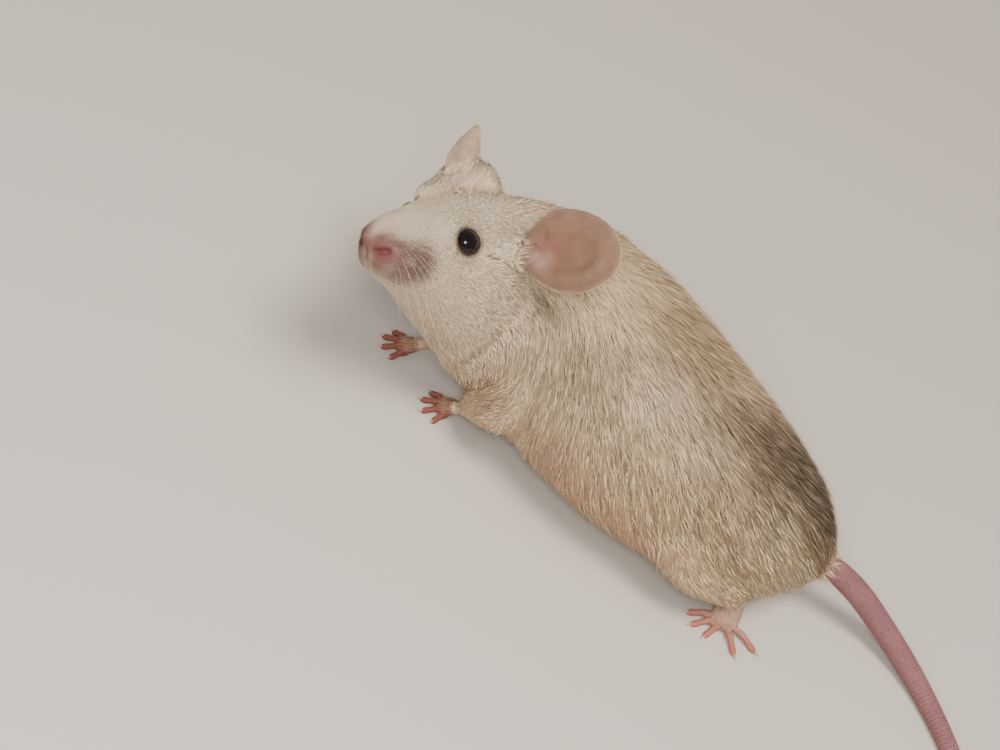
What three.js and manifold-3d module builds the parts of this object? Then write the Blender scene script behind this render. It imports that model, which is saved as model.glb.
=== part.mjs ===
// A house mouse, life size, as a still model: crouched on its belly with its chest raised, its head
// turned to its own left and its tail laid in a curve on the ground.
// Millimetres. +X is the animal's left, -Y is ahead, +Z is up, and the ground is z = 0.
// The solids give the outline out to the tips of the coat. The body is one form laid along the spine,
// parted with thin cuts where a person would name its parts.
import * as THREE from "three";
import { mergeVertices } from "three/addons/utils/BufferGeometryUtils.js";
import Module from "manifold-3d";

const wasm = await Module();
wasm.setup();

// ---- Driving dimensions ----------------------------------------------------------------------
const GAP = 0.3; // between neighbouring solids
const SINK = 0.3; // how far feet, belly and tail are pressed flat on the ground

const NOSE = new THREE.Vector3(15.4, -39, 30.7);
const HEAD_FORWARD = new THREE.Vector3(0.75, -0.56, 0.35).normalize();
const HEAD_UP_HINT = new THREE.Vector3(-0.5, -0.16, 0.85);
const HEAD_AXIS_LENGTH = 16; // the straight part of the spine, from the nose tip

const EYE_RADIUS = 1.65;
const EYE = { out: 5.2, back: 11.2, up: 3.6 };
const EAR = { length: 13, width: 11.4, thickness: 0.8, dish: 1.0 };

const TAIL_RADIUS = { root: 1.9, middle: 1.3, tip: 0.42 };

const END_CAP = 7; // the length over which the rump rounds off
const CUTS = { head: 25.5, neck: 34.5, chest: 49, belly: 67 }; // distances from the nose along the spine

// ---- Shapes ----------------------------------------------------------------------------------
const vec = (x, y, z) => new THREE.Vector3(x, y, z);
const radians = THREE.MathUtils.degToRad;

// A smooth function through a few [place, value] pairs, flat beyond both ends.
function profile(pairs) {
  const slope = (i) => {
    const a = pairs[Math.max(i - 1, 0)];
    const b = pairs[Math.min(i + 1, pairs.length - 1)];
    return (b[1] - a[1]) / (b[0] - a[0]);
  };
  return (s) => {
    if (s <= pairs[0][0]) return pairs[0][1];
    const i = pairs.findIndex(([place]) => place >= s);
    if (i < 0) return pairs[pairs.length - 1][1];
    const [s0, v0] = pairs[i - 1];
    const [s1, v1] = pairs[i];
    const h = s1 - s0;
    const u = (s - s0) / h;
    return (
      v0 * (1 + 2 * u) * (1 - u) ** 2 +
      slope(i - 1) * h * u * (1 - u) ** 2 +
      v1 * u * u * (3 - 2 * u) +
      slope(i) * h * u * u * (u - 1)
    );
  };
}

// A sphere's grid laid along a curve. section(s, angle) gives the reach from the curve, as
// [sideways, upwards], at distance s along it, with angle 0 on the left and 90 degrees on top.
function loft(curve, upAt, sides, rings, section) {
  const geometry = new THREE.SphereGeometry(1, sides, rings);
  const place = geometry.getAttribute("position");
  const length = curve.getLength();
  for (let i = 0; i < place.count; i++) {
    const v = vec().fromBufferAttribute(place, i);
    const t = (1 - THREE.MathUtils.clamp(v.y, -1, 1)) / 2;
    const angle = Math.atan2(v.x, v.z);
    const tangent = curve.getTangentAt(t);
    const left = vec().crossVectors(tangent, upAt(t)).normalize();
    const up = vec().crossVectors(left, tangent);
    const [side, rise] = Math.hypot(v.x, v.z) < 1e-6 ? [0, 0] : section(t * length, angle);
    const p = curve.getPointAt(t).addScaledVector(left, side).addScaledVector(up, rise);
    place.setXYZ(i, p.x, p.y, p.z);
  }
  return geometry;
}

// A limb of round section through a few points, with a radius at each share of its length.
function limb(points, radii, sides = 10, rings = 10, flatten = 1) {
  const curve = new THREE.CatmullRomCurve3(points);
  const length = curve.getLength();
  const radius = profile(radii);
  return loft(curve, () => vec(0.02, 0.03, 1).normalize(), sides, rings, (s, a) => {
    const t = s / length;
    const r = radius(t) * Math.sqrt(Math.max(1 - (2 * t - 1) ** 8, 0));
    return [r * Math.cos(a), r * flatten * Math.sin(a)];
  });
}

// ---- Solids ----------------------------------------------------------------------------------
// A closed form from a grid, facing out; grow pushes its surface outwards by that much.
function solid(geometry, grow = 0) {
  const g = mergeVertices(geometry.clone().deleteAttribute("normal").deleteAttribute("uv"), 1e-4);
  const place = g.getAttribute("position");
  const made = () =>
    new wasm.Manifold(
      new wasm.Mesh({
        numProp: 3,
        vertProperties: new Float32Array(place.array),
        triVerts: new Uint32Array(g.index.array),
      }),
    );
  if (made().volume() < 0) g.index.array.reverse();
  if (grow) {
    g.computeVertexNormals();
    const normal = g.getAttribute("normal");
    for (let i = 0; i < place.count; i++) {
      const out = vec().fromBufferAttribute(normal, i);
      const p = vec().fromBufferAttribute(place, i).addScaledVector(out, grow);
      place.setXYZ(i, p.x, p.y, p.z);
    }
  }
  return made();
}

const biggest = (s) => s.decompose().sort((a, b) => b.volume() - a.volume())[0];
const onGround = (s) => s.trimByPlane([0, 0, 1], 0);

// ---- The spine and the body's outline --------------------------------------------------------
const headLeft = vec().crossVectors(HEAD_UP_HINT, HEAD_FORWARD).normalize();
const headUp = vec().crossVectors(HEAD_FORWARD, headLeft).normalize();
const headPoint = (back, left, up) =>
  NOSE.clone()
    .addScaledVector(HEAD_FORWARD, -back)
    .addScaledVector(headLeft, left)
    .addScaledVector(headUp, up);

const spine = new THREE.CatmullRomCurve3([
  headPoint(0, 0, 0),
  headPoint(8, 0, 0),
  headPoint(HEAD_AXIS_LENGTH, 0, 0),
  vec(-1.7, -24.4, 23.0),
  vec(-4.2, -16.4, 20.5),
  vec(-3.4, -6.5, 17.2),
  vec(-1.2, 4.5, 14.7),
  vec(0.3, 15, 12.8),
  vec(0.6, 25, 11.6),
  vec(0.0, 36, 11.0),
]);
const spineLength = spine.getLength();

// The head keeps its own tilt, which the neck unwinds.
function spineUp(t) {
  const s = t * spineLength;
  const turn = THREE.MathUtils.smoothstep(s, 18, 36);
  return headUp.clone().lerp(vec(0, 0, 1), turn).normalize();
}

const halfWidth = profile([
  [0, 1.8], [1.2, 3.0], [3.5, 4.4], [7.5, 5.7], [11.5, 6.9], [16, 8.2], [21, 9.0], [27, 9.8], [34, 12.0],
  [42, 14.7], [52, 16.0], [60, 15.9], [70, 14.2], [77.5, 11.2], [82.5, 8.0], [85.5, 5.4],
]);
const rise = profile([
  [0, 1.6], [1.2, 2.6], [3.5, 4.2], [7.5, 6.1], [11.5, 7.8], [16, 9.2], [21, 10.4], [27, 13.0], [34, 15.8],
  [42, 16.7], [52, 15.6], [60, 14.4], [70, 12.6], [77.5, 10.0], [82.5, 7.6], [85.5, 5.4],
]);
const drop = profile([
  [0, 1.8], [1.2, 3.2], [3.5, 4.8], [7.5, 6.2], [11.5, 8.2], [16, 11.0], [21, 14.0], [27, 16.7], [34, 18.1],
  [42, 18.0], [52, 16.4], [60, 14.4], [70, 11.8], [77.5, 9.6], [82.5, 7.4], [85.5, 5.2],
]);

// A soft swelling of the coat's outline, centred at a distance along the spine and an angle round it.
const swelling = (at, angle, along, around, height) => (s, a) => {
  const turn = Math.abs(THREE.MathUtils.euclideanModulo(a - radians(angle) + Math.PI, 2 * Math.PI) - Math.PI);
  return height * Math.exp(-(((s - at) / along) ** 2) - (turn / radians(around)) ** 2);
};
const CHEEKS = [-20, 200].map((angle) => swelling(18, angle, 5, 30, 0.7));

const bodyShape = loft(spine, spineUp, 30, 38, (s, a) => {
  const beyond = Math.max(s - (spineLength - END_CAP), 0) / END_CAP;
  const cap = Math.sqrt(1 - Math.min(beyond, 1) ** 2);
  const extra = CHEEKS.reduce((sum, swell) => sum + swell(s, a), 0);
  const c = Math.cos(a);
  const d = Math.sin(a);
  return [(halfWidth(s) + extra) * c * cap, ((d > 0 ? rise(s) : drop(s)) + extra) * d * cap];
});

// The raised right ear has a furred fold on the inner side of its base.
const earFold = limb(
  [headPoint(23.4, -4.4, 6.5), headPoint(22.7, -5.4, 9.8), headPoint(21.8, -7.0, 12.8)],
  [[0, 3.2], [0.5, 2.7], [1, 1.6]],
  8, 5,
);
// A furred brow runs from above the right eye up into the front of the same ear.
const earBrow = limb(
  [headPoint(10.5, -5.2, 5.6), headPoint(15, -6.8, 7.1), headPoint(19, -8, 9.2), headPoint(21.5, -8.2, 12)],
  [[0, 1.5], [0.4, 2.0], [0.75, 1.9], [1, 1.2]],
  6, 5,
);
const body = solid(bodyShape).add(solid(earFold)).add(solid(earBrow));
const bodyRoom = solid(bodyShape, GAP).add(solid(earFold, GAP)).add(solid(earBrow, GAP));

// ---- Body, in lengths ------------------------------------------------------------------------
function spineCut(s) {
  const t = s / spineLength;
  const n = spine.getTangentAt(t);
  return { n, d: n.dot(spine.getPointAt(t)) };
}
function between(form, from, to) {
  let piece = form;
  if (from) piece = piece.trimByPlane(from.n.toArray(), from.d + GAP / 2);
  if (to) piece = piece.trimByPlane(to.n.clone().negate().toArray(), -to.d + GAP / 2);
  return biggest(onGround(piece));
}
const cut = Object.fromEntries(Object.entries(CUTS).map(([k, s]) => [k, spineCut(s)]));

// ---- Eyes ------------------------------------------------------------------------------------
function eyeShape(side) {
  const c = headPoint(EYE.back, side * EYE.out, EYE.up);
  return new THREE.SphereGeometry(EYE_RADIUS, 12, 9).translate(c.x, c.y, c.z);
}

// ---- Ears ------------------------------------------------------------------------------------
// A thin cupped leaf, rolled into a funnel where it grows from the head.
function earForm({ side, root, axis, face, cup }) {
  const leaf = new THREE.SphereGeometry(1, 18, 12);
  const place = leaf.getAttribute("position");
  const long = vec()
    .addScaledVector(HEAD_FORWARD, -axis.back)
    .addScaledVector(headLeft, side * axis.out)
    .addScaledVector(headUp, axis.up)
    .normalize();
  const facing = vec()
    .addScaledVector(HEAD_FORWARD, face.forward)
    .addScaledVector(headLeft, side * face.out)
    .addScaledVector(headUp, face.up);
  const across = vec().crossVectors(long, facing).normalize();
  const front = vec().crossVectors(across, long).normalize();
  const base = headPoint(root.back, side * root.out, root.up);
  for (let i = 0; i < place.count; i++) {
    const u = place.getX(i);
    const v = place.getY(i);
    const w = place.getZ(i);
    const share = (v + 1) / 2;
    const half = (EAR.width / 2) * (0.8 + 0.2 * THREE.MathUtils.smoothstep(share, 0, 0.4));
    const roll = THREE.MathUtils.lerp(cup.root, cup.tip, THREE.MathUtils.smoothstep(share, 0, cup.until));
    const p = base
      .clone()
      .addScaledVector(long, share * EAR.length - 1)
      .addScaledVector(across, u * half)
      .addScaledVector(front, (w * EAR.thickness) / 2 + roll * u * u - EAR.dish * share * (1 - share));
    place.setXYZ(i, p.x, p.y, p.z);
  }
  return solid(leaf);
}

const EARS = {
  ear_left: {
    side: 1,
    root: { back: 18.9, out: 9.4, up: 4.9 },
    axis: { back: 0.4, out: 0.82, up: 0.37 },
    face: { forward: 0.86, out: 0.42, up: 0.4 },
    cup: { root: 4.6, tip: 1.4, until: 0.6 },
  },
  ear_right: {
    side: -1,
    root: { back: 23.2, out: 6.4, up: 6.0 },
    axis: { back: 0.13, out: 0.48, up: 0.86 },
    face: { forward: 0.68, out: 0.66, up: 0 },
    cup: { root: 6.6, tip: 3.0, until: 1.0 },
  },
};

// ---- Legs and feet ---------------------------------------------------------------------------
// Toes fan from the ball of the foot; each is [angle from the foot's heading, length, set back].
function footForm({ heel, heading, sole, width, thick, toes, toeRadius }) {
  const turn = radians(heading);
  const ahead = vec(Math.sin(turn), -Math.cos(turn), 0);
  const aside = vec(Math.cos(turn), Math.sin(turn), 0);
  const at = (f, l, z) => heel.clone().setZ(z).addScaledVector(ahead, f).addScaledVector(aside, l);
  let form = solid(
    limb(
      [at(0, 0, heel.z), at(sole * 0.5, 0, (heel.z + thick) * 0.42), at(sole, 0, thick * 0.42)],
      [[0, width * 0.42], [0.5, width * 0.44], [0.85, width * 0.5], [1, width * 0.42]],
      10, 7, thick / width,
    ),
  );
  toes.forEach(([angle, length, back], i) => {
    const spread = radians(angle);
    const root = at(sole - 1 - back, (i / (toes.length - 1) - 0.5) * width * 0.7, 0);
    const dir = ahead.clone().multiplyScalar(Math.cos(spread)).addScaledVector(aside, Math.sin(spread));
    const on = (f, z) => root.clone().addScaledVector(dir, f * length).setZ(z * toeRadius);
    form = form.add(
      solid(
        limb(
          [on(0, 1.6), on(0.45, 2.2), on(0.8, 1.1), on(1, 0.9)],
          [[0, toeRadius], [0.6, toeRadius * 0.85], [0.82, toeRadius * 1.05], [1, toeRadius * 0.6]],
          6, 5,
        ),
      ),
    );
  });
  return form;
}

const HIND_TOES = [[-34, 5.4, 2.2], [-14, 6.6, 0.2], [0, 6.8, 0], [14, 6.6, 0.2], [32, 5.6, 1.6]];
const SPLAYED_TOES = [[-64, 4.0, 0.6], [-46, 4.4, 0.2], [-24, 3.8, 0], [36, 4.5, 0], [68, 4.9, 0.8]];
const FORE_TOES = [[-36, 2.9, 0.4], [-13, 3.5, 0], [12, 3.5, 0], [36, 2.9, 0.4]];
const THIGH = [[0, 2.2], [0.22, 4.6], [0.5, 4.8], [0.78, 2.9], [1, 1.9]];
const FOREARM = [[0, 2.2], [0.3, 3.1], [0.6, 2.3], [1, 1.4]];
const LEGS = {
  hind_left: {
    leg: [vec(10.4, 12, 9.5), vec(11.4, 18.5, 9.6), vec(10.2, 24, 7), vec(8.4, 27, 3.4)],
    radii: THIGH,
    foot: { heel: vec(2.2, 26.8, 2.9), heading: 90, sole: 9.6, width: 4.2, thick: 2.6, toeRadius: 0.46,
      toes: SPLAYED_TOES },
  },
  hind_right: {
    leg: [vec(-10.4, 11, 9.5), vec(-11.2, 17.5, 9.6), vec(-11.4, 23.5, 6.6), vec(-11.2, 27.4, 3.2)],
    radii: THIGH,
    foot: { heel: vec(-11, 27.6, 2.4), heading: -24, sole: 10, width: 4.0, thick: 2.6, toeRadius: 0.46,
      toes: HIND_TOES },
  },
  fore_left: {
    leg: [vec(8.5, -11, 15.5), vec(8.2, -13.6, 10.8), vec(5.2, -17, 6.2), vec(2.2, -19.4, 1.7)],
    radii: FOREARM,
    foot: { heel: vec(2.0, -19.9, 1.5), heading: 28, sole: 2.8, width: 3.2, thick: 2.1, toeRadius: 0.44,
      toes: FORE_TOES },
  },
  fore_right: {
    leg: [vec(-8.5, -15, 16), vec(-8.8, -18, 11), vec(-6.8, -24.3, 6.2), vec(-4.4, -29.2, 1.7)],
    radii: FOREARM,
    foot: { heel: vec(-4.3, -29.7, 1.5), heading: 20, sole: 2.6, width: 3.1, thick: 2.1, toeRadius: 0.44,
      toes: FORE_TOES },
  },
};

// ---- Tail ------------------------------------------------------------------------------------
const tailCurve = new THREE.CatmullRomCurve3([
  vec(0.4, 31, 10.6), vec(-1.0, 37.2, 9.4), vec(-1.9, 42.0, 7.1), vec(-2.0, 47.2, 4.2), vec(-0.3, 52.4, 2.3),
  vec(3.0, 57.2, 1.3), vec(8.0, 61.8, 1.1), vec(14.5, 66.5, 1.0), vec(22.5, 70.6, 0.9), vec(31.5, 73.4, 0.75),
  vec(40.5, 74.6, 0.6), vec(49.5, 74.2, 0.42), vec(57, 72.2, 0.25),
]);
const tailLength = tailCurve.getLength();
const tailRadius = profile([[0, TAIL_RADIUS.root], [0.4, TAIL_RADIUS.middle], [1, TAIL_RADIUS.tip]]);
const tailShape = loft(tailCurve, () => vec(0, 0, 1), 8, 32, (s, a) => {
  const t = s / tailLength;
  const r = tailRadius(t) * Math.sqrt(Math.max(1 - (2 * t - 1) ** 40, 0));
  return [r * Math.cos(a), r * Math.sin(a)];
});
function tailCut(share) {
  const n = tailCurve.getTangentAt(share);
  return { n, d: n.dot(tailCurve.getPointAt(share)) };
}

// ---- The parts -------------------------------------------------------------------------------
const material = (color, roughness) => new THREE.MeshStandardMaterial({ color, roughness, metalness: 0 });
const COAT = material(0xcbbfa9, 0.95);
const SKIN = material(0xd9a79c, 0.6);
const EAR_SKIN = material(0xc9a08b, 0.65);
const EYE_BLACK = material(0x0b0908, 0.08);

const mouse = new THREE.Group();
function part(name, form, look) {
  const m = form.getMesh();
  const geometry = new THREE.BufferGeometry()
    .setAttribute("position", new THREE.BufferAttribute(m.vertProperties, 3))
    .setIndex(new THREE.BufferAttribute(m.triVerts, 1));
  geometry.computeVertexNormals();
  const mesh = new THREE.Mesh(geometry, look);
  mesh.name = name;
  mouse.add(mesh);
}

const limbs = Object.entries(LEGS).map(([name, { leg, radii, foot }]) => {
  const shape = limb(leg, radii);
  return {
    name,
    leg: onGround(solid(shape)),
    room: solid(shape, GAP),
    foot: onGround(footForm(foot).translate([0, 0, -SINK])),
  };
});
const rooms = [solid(eyeShape(1), GAP), solid(eyeShape(-1), GAP), ...limbs.map(({ room }) => room)];
const trunk = rooms.reduce((form, room) => form.subtract(room), body);
part("head", between(trunk, null, cut.head), COAT);
part("neck", between(trunk, cut.head, cut.neck), COAT);
part("chest", between(trunk, cut.neck, cut.chest), COAT);
part("belly", between(trunk, cut.chest, cut.belly), COAT);
part("rump", between(trunk, cut.belly, null), COAT);

part("eye_left", solid(eyeShape(1)), EYE_BLACK);
part("eye_right", solid(eyeShape(-1)), EYE_BLACK);
for (const [name, ear] of Object.entries(EARS)) {
  part(name, biggest(earForm(ear).subtract(bodyRoom)), EAR_SKIN);
}

for (const { name, leg, room, foot } of limbs) {
  part(`${name}_leg`, leg, COAT);
  part(`${name}_foot`, biggest(foot.subtract(room).subtract(bodyRoom)), SKIN);
}

const tail = biggest(onGround(solid(tailShape)).subtract(bodyRoom));
part("tail_root", between(tail, null, tailCut(0.32)), SKIN);
part("tail_middle", between(tail, tailCut(0.32), tailCut(0.66)), SKIN);
part("tail_tip", between(tail, tailCut(0.66), null), SKIN);

const box = new THREE.Box3().setFromObject(mouse);
mouse.position.set(-(box.min.x + box.max.x) / 2, -(box.min.y + box.max.y) / 2, 0);

export default mouse;
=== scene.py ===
import math

import bmesh
import bpy
import numpy as np
from mathutils import Matrix, Vector
from mathutils.bvhtree import BVHTree
from mathutils.kdtree import KDTree


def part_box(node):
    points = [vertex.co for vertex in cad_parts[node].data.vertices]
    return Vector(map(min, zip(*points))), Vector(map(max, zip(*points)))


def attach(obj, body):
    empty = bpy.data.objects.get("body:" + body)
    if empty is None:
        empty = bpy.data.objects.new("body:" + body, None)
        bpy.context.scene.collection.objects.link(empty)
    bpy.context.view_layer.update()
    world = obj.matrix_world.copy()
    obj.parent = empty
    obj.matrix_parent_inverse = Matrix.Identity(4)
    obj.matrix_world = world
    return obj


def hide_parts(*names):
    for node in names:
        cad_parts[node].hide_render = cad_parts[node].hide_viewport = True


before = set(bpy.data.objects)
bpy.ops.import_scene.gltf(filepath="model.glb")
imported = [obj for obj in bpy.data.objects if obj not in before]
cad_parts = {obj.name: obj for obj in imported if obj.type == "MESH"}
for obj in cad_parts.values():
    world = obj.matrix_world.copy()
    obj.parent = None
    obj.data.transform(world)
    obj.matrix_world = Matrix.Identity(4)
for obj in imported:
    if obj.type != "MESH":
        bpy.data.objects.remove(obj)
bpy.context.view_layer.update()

# ---- Camera and light ------------------------------------------------------------------------
# The mouse is seen from above its left side, with the camera rolled so that the spine falls from
# upper left to lower right. One broad lamp lights it from the camera's side, and a small one close
# to the camera leaves the single spark in the eye.
MM = 0.001
AIM = Vector((-12.0, -34.05, 15.0)) * MM
AZIMUTH, ELEVATION, ROLL = (math.radians(a) for a in (92, 42, 30))
DISTANCE = 230 * MM
LENS = 61.7

camera_data = bpy.data.cameras.new("camera")
camera = bpy.data.objects.new("camera", camera_data)
bpy.context.scene.collection.objects.link(camera)
camera_data.lens = LENS
camera_data.clip_start = 0.01
away = Vector((
    math.sin(AZIMUTH) * math.cos(ELEVATION),
    -math.cos(AZIMUTH) * math.cos(ELEVATION),
    math.sin(ELEVATION),
))
level = Vector((math.cos(AZIMUTH), math.sin(AZIMUTH), 0))
aside = math.cos(ROLL) * level + math.sin(ROLL) * away.cross(level)
above = away.cross(aside)
camera.matrix_world = Matrix.Translation(AIM + away * DISTANCE) @ Matrix(
    (aside, above, away)
).transposed().to_4x4()
bpy.context.scene.camera = camera


def lamp(name, side, up, out, reach, size, watts, colour, mirrored=True):
    """A square soft light, placed from the mouse by the camera's own directions."""
    data = bpy.data.lights.new(name, "AREA")
    data.size = size
    data.energy = watts
    data.color = colour
    light = bpy.data.objects.new(name, data)
    towards = (aside * side + above * up + away * out).normalized()
    light.location = AIM + towards * reach
    light.rotation_euler = towards.to_track_quat("Z", "Y").to_euler()
    light.visible_glossy = mirrored
    bpy.context.scene.collection.objects.link(light)


lamp("key", 0.55, 0.4, 1.0, 0.9, 0.36, 9.5, (1.0, 0.92, 0.83), mirrored=False)
lamp("fill", -0.8, -0.2, 1.0, 1.1, 0.9, 3.0, (1.0, 0.94, 0.88), mirrored=False)
lamp("catchlight", 0.0, 0.01, 1.0, 0.26, 0.08, 0.5, (1.0, 0.97, 0.93))

world = bpy.data.worlds.new("studio")
bpy.context.scene.world = world
world.use_nodes = True
world.node_tree.nodes["Background"].inputs["Color"].default_value = (0.80, 0.77, 0.73, 1)
world.node_tree.nodes["Background"].inputs["Strength"].default_value = 0.5

# ---- Floor -----------------------------------------------------------------------------------
# A plain pale sheet of matt card that the model rests on.
FLOOR_HALF_WIDTH = 6.0


def material(name, colour, roughness, **extra):
    """A Principled material with its plain values on the shader's own sockets."""
    made = bpy.data.materials.new(name)
    made.use_nodes = True
    shader = made.node_tree.nodes["Principled BSDF"]
    shader.inputs["Base Color"].default_value = (*colour, 1)
    shader.inputs["Roughness"].default_value = roughness
    for socket, value in extra.items():
        shader.inputs[socket.replace("_", " ")].default_value = value
    return made, made.node_tree, shader


floor_bm = bmesh.new()
bmesh.ops.create_grid(floor_bm, x_segments=1, y_segments=1, size=FLOOR_HALF_WIDTH)
floor_mesh = bpy.data.meshes.new("floor")
floor_bm.to_mesh(floor_mesh)
floor_bm.free()
floor = bpy.data.objects.new("floor", floor_mesh)
bpy.context.scene.collection.objects.link(floor)
floor_look, _, _ = material("pale_card", (0.55, 0.51, 0.46), 0.9)
floor_mesh.materials.append(floor_look)

# ---- Skin: the flesh under it ----------------------------------------------------------------
# One hide covers the whole animal. It is drawn over the trunk and legs of the model and over finer
# forms of the ears, feet and tail, all fused into one closed form.
NOSE = np.array((-3.29, -56.25, 30.7)) * MM
HEAD_FORWARD = np.array((0.75, -0.56, 0.35))
HEAD_FORWARD /= np.linalg.norm(HEAD_FORWARD)
HEAD_LEFT = np.cross((-0.5, -0.16, 0.85), HEAD_FORWARD)
HEAD_LEFT /= np.linalg.norm(HEAD_LEFT)
HEAD_UP = np.cross(HEAD_FORWARD, HEAD_LEFT)
HEAD_AXES = np.array((-HEAD_FORWARD, HEAD_LEFT, HEAD_UP))


def head_point(back, left, up):
    """A place on the head, in millimetres back from the nose tip, to its left and up."""
    return NOSE + np.array((back, left, up)) @ HEAD_AXES * MM


def head_way(back, left, up):
    """A unit direction given by the head's own axes."""
    way = np.array((back, left, up)) @ HEAD_AXES
    return way / np.linalg.norm(way)


def on_head_axes(places):
    """Places as millimetres back from the nose tip, to its left and up."""
    return (places - NOSE) @ HEAD_AXES.T / MM


def unit(v):
    """Rows of v, each made one long."""
    return v / np.maximum(np.linalg.norm(v, axis=-1, keepdims=True), 1e-12)


def smooth_line(points, count):
    """Evenly spaced points along a smooth line through the given ones."""
    p = np.array(points, float)
    p = np.vstack([2 * p[0] - p[1], p, 2 * p[-1] - p[-2]])
    t = np.linspace(0, 1, 20, endpoint=False)[:, None]
    parts = [
        b + 0.5 * ((c - a) * t + (2 * a - 5 * b + 4 * c - d) * t**2 + (3 * b - a - 3 * c + d) * t**3)
        for a, b, c, d in zip(p, p[1:], p[2:], p[3:])
    ]
    line = np.vstack([*parts, p[-2:-1]])
    run = np.r_[0, np.cumsum(np.linalg.norm(np.diff(line, axis=0), axis=1))]
    even = np.linspace(0, run[-1], count)
    return np.column_stack([np.interp(even, run, line[:, k]) for k in range(3)])


def add_node(bm, node, swell):
    """Adds a closed copy of a CAD node's surface, pushed out by swell."""
    piece = bmesh.new()
    piece.from_mesh(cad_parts[node].data)
    bmesh.ops.remove_doubles(piece, verts=piece.verts, dist=1e-6)
    piece.normal_update()
    moves = [(v, v.normal * swell) for v in piece.verts]
    for v, move in moves:
        v.co += move
    loose = bpy.data.meshes.new(node)
    piece.to_mesh(loose)
    piece.free()
    bm.from_mesh(loose)
    bpy.data.meshes.remove(loose)


def add_limb(bm, points, radii, sides=16, rings=24, flatten=1.0):
    """A closed tapering form laid along a smooth line; radii are (share of the line, millimetres)."""
    made = bmesh.ops.create_uvsphere(bm, u_segments=sides, v_segments=rings, radius=1)["verts"]
    ball = np.array([v.co for v in made])
    share = (1 - ball[:, 2]) / 2
    line = smooth_line(np.array(points), 400)
    ahead = unit(np.gradient(line, axis=0))
    left = unit(np.cross(ahead, (0.02, 0.03, 1)))
    up = np.cross(left, ahead)
    at = np.round(share * (len(line) - 1)).astype(int)
    radius = np.interp(share, *zip(*radii)) * np.sqrt(np.maximum(1 - (2 * share - 1) ** 8, 0)) * MM
    turn = np.arctan2(ball[:, 1], ball[:, 0])
    centre = np.column_stack([np.interp(share, np.linspace(0, 1, len(line)), line[:, k]) for k in range(3)])
    side, rise = radius * np.cos(turn), radius * flatten * np.sin(turn)
    for v, place in zip(made, centre + left[at] * side[:, None] + up[at] * rise[:, None]):
        v.co = place
    return made


flesh_bm = bmesh.new()
TRUNK = ["head", "neck", "chest", "belly", "rump"]
LEGS = ["hind_left", "hind_right", "fore_left", "fore_right"]
TAIL = ["tail_root", "tail_middle", "tail_tip"]
EARS = ["ear_left", "ear_right"]
FLESH = [*TRUNK, *EARS, *(f"{l}_{p}" for l in LEGS for p in ("leg", "foot")), *TAIL]
SWELL = 0.2 * MM
EYE_FILL = 0.5 * MM
for name in [*TRUNK, *(f"{leg}_leg" for leg in LEGS)]:
    add_node(flesh_bm, name, SWELL)
for name in ("eye_left", "eye_right"):
    add_node(flesh_bm, name, EYE_FILL)

# Tail: long and slender, curved on the ground, tapering to its end.
TAIL_LINE = smooth_line(np.array([
    (-18.3, 12.5, 10.9), (-18.9, 17.5, 10.2), (-19.7, 20.0, 9.4), (-20.6, 24.75, 7.1), (-20.7, 29.95, 4.2),
    (-19.0, 35.15, 2.3), (-15.7, 39.95, 1.3), (-10.7, 44.55, 1.1), (-4.2, 49.25, 1.0), (3.8, 53.35, 0.9),
    (12.8, 56.15, 0.75), (21.8, 57.35, 0.6), (30.8, 56.95, 0.42), (38.3, 54.95, 0.25),
]) * MM, 400)
TAIL_RADII = [(0, 2.1), (0.14, 1.9), (0.3, 1.62), (0.45, 1.3), (0.75, 0.86), (1, 0.42)]
add_limb(flesh_bm, TAIL_LINE[::8], TAIL_RADII, sides=24, rings=200)

# Ears: thin cupped leaves, rolled into a funnel where they grow from the head.
EAR = {"length": 13, "width": 11.4, "thickness": 0.62, "dish": 1.0}
EAR_SHAPES = {
    "ear_left": dict(side=1, root=(18.9, 9.4, 4.9), axis=(0.4, 0.82, 0.37), face=(-0.86, 0.42, 0.4),
                     cup=(4.6, 1.4, 0.6)),
    "ear_right": dict(side=-1, root=(23.2, 6.4, 6.0), axis=(0.13, 0.48, 0.86), face=(-0.68, 0.66, 0),
                      cup=(6.6, 3.0, 1.0)),
}


def ease(x, low, high):
    """Runs smoothly from 0 at low to 1 at high."""
    t = np.clip((x - low) / (high - low), 0, 1)
    return t * t * (3 - 2 * t)


def ear_axes(shape):
    """Base, and directions along the ear, across it and out of its hollow side."""
    turned = np.array((1, shape["side"], 1))
    long = head_way(*(np.array(shape["axis"]) * turned))
    facing = np.array(shape["face"]) * turned @ HEAD_AXES
    across = unit(np.cross(long, facing))
    return head_point(*(np.array(shape["root"]) * turned)), long, across, np.cross(across, long)


def ear_half_width(share):
    """Half the ear's width, narrower at its root, in millimetres."""
    return EAR["width"] / 2 * (0.8 + 0.2 * ease(share, 0, 0.4))


def ear_bend(shape, share, u):
    """How far the ear's middle surface stands out towards its hollow side, in millimetres."""
    root, tip, until = shape["cup"]
    roll = root + (tip - root) * ease(share, 0, until)
    return roll * u * u - EAR["dish"] * share * (1 - share)


def ear_place(shape, places):
    """Shares along and across the ear, and millimetres out from its middle surface."""
    base, long, across, out = ear_axes(shape)
    q = (places - base) / MM
    share = (q @ long + 1) / EAR["length"]
    u = q @ across / ear_half_width(share)
    return share, u, q @ out - ear_bend(shape, share, u)


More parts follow.
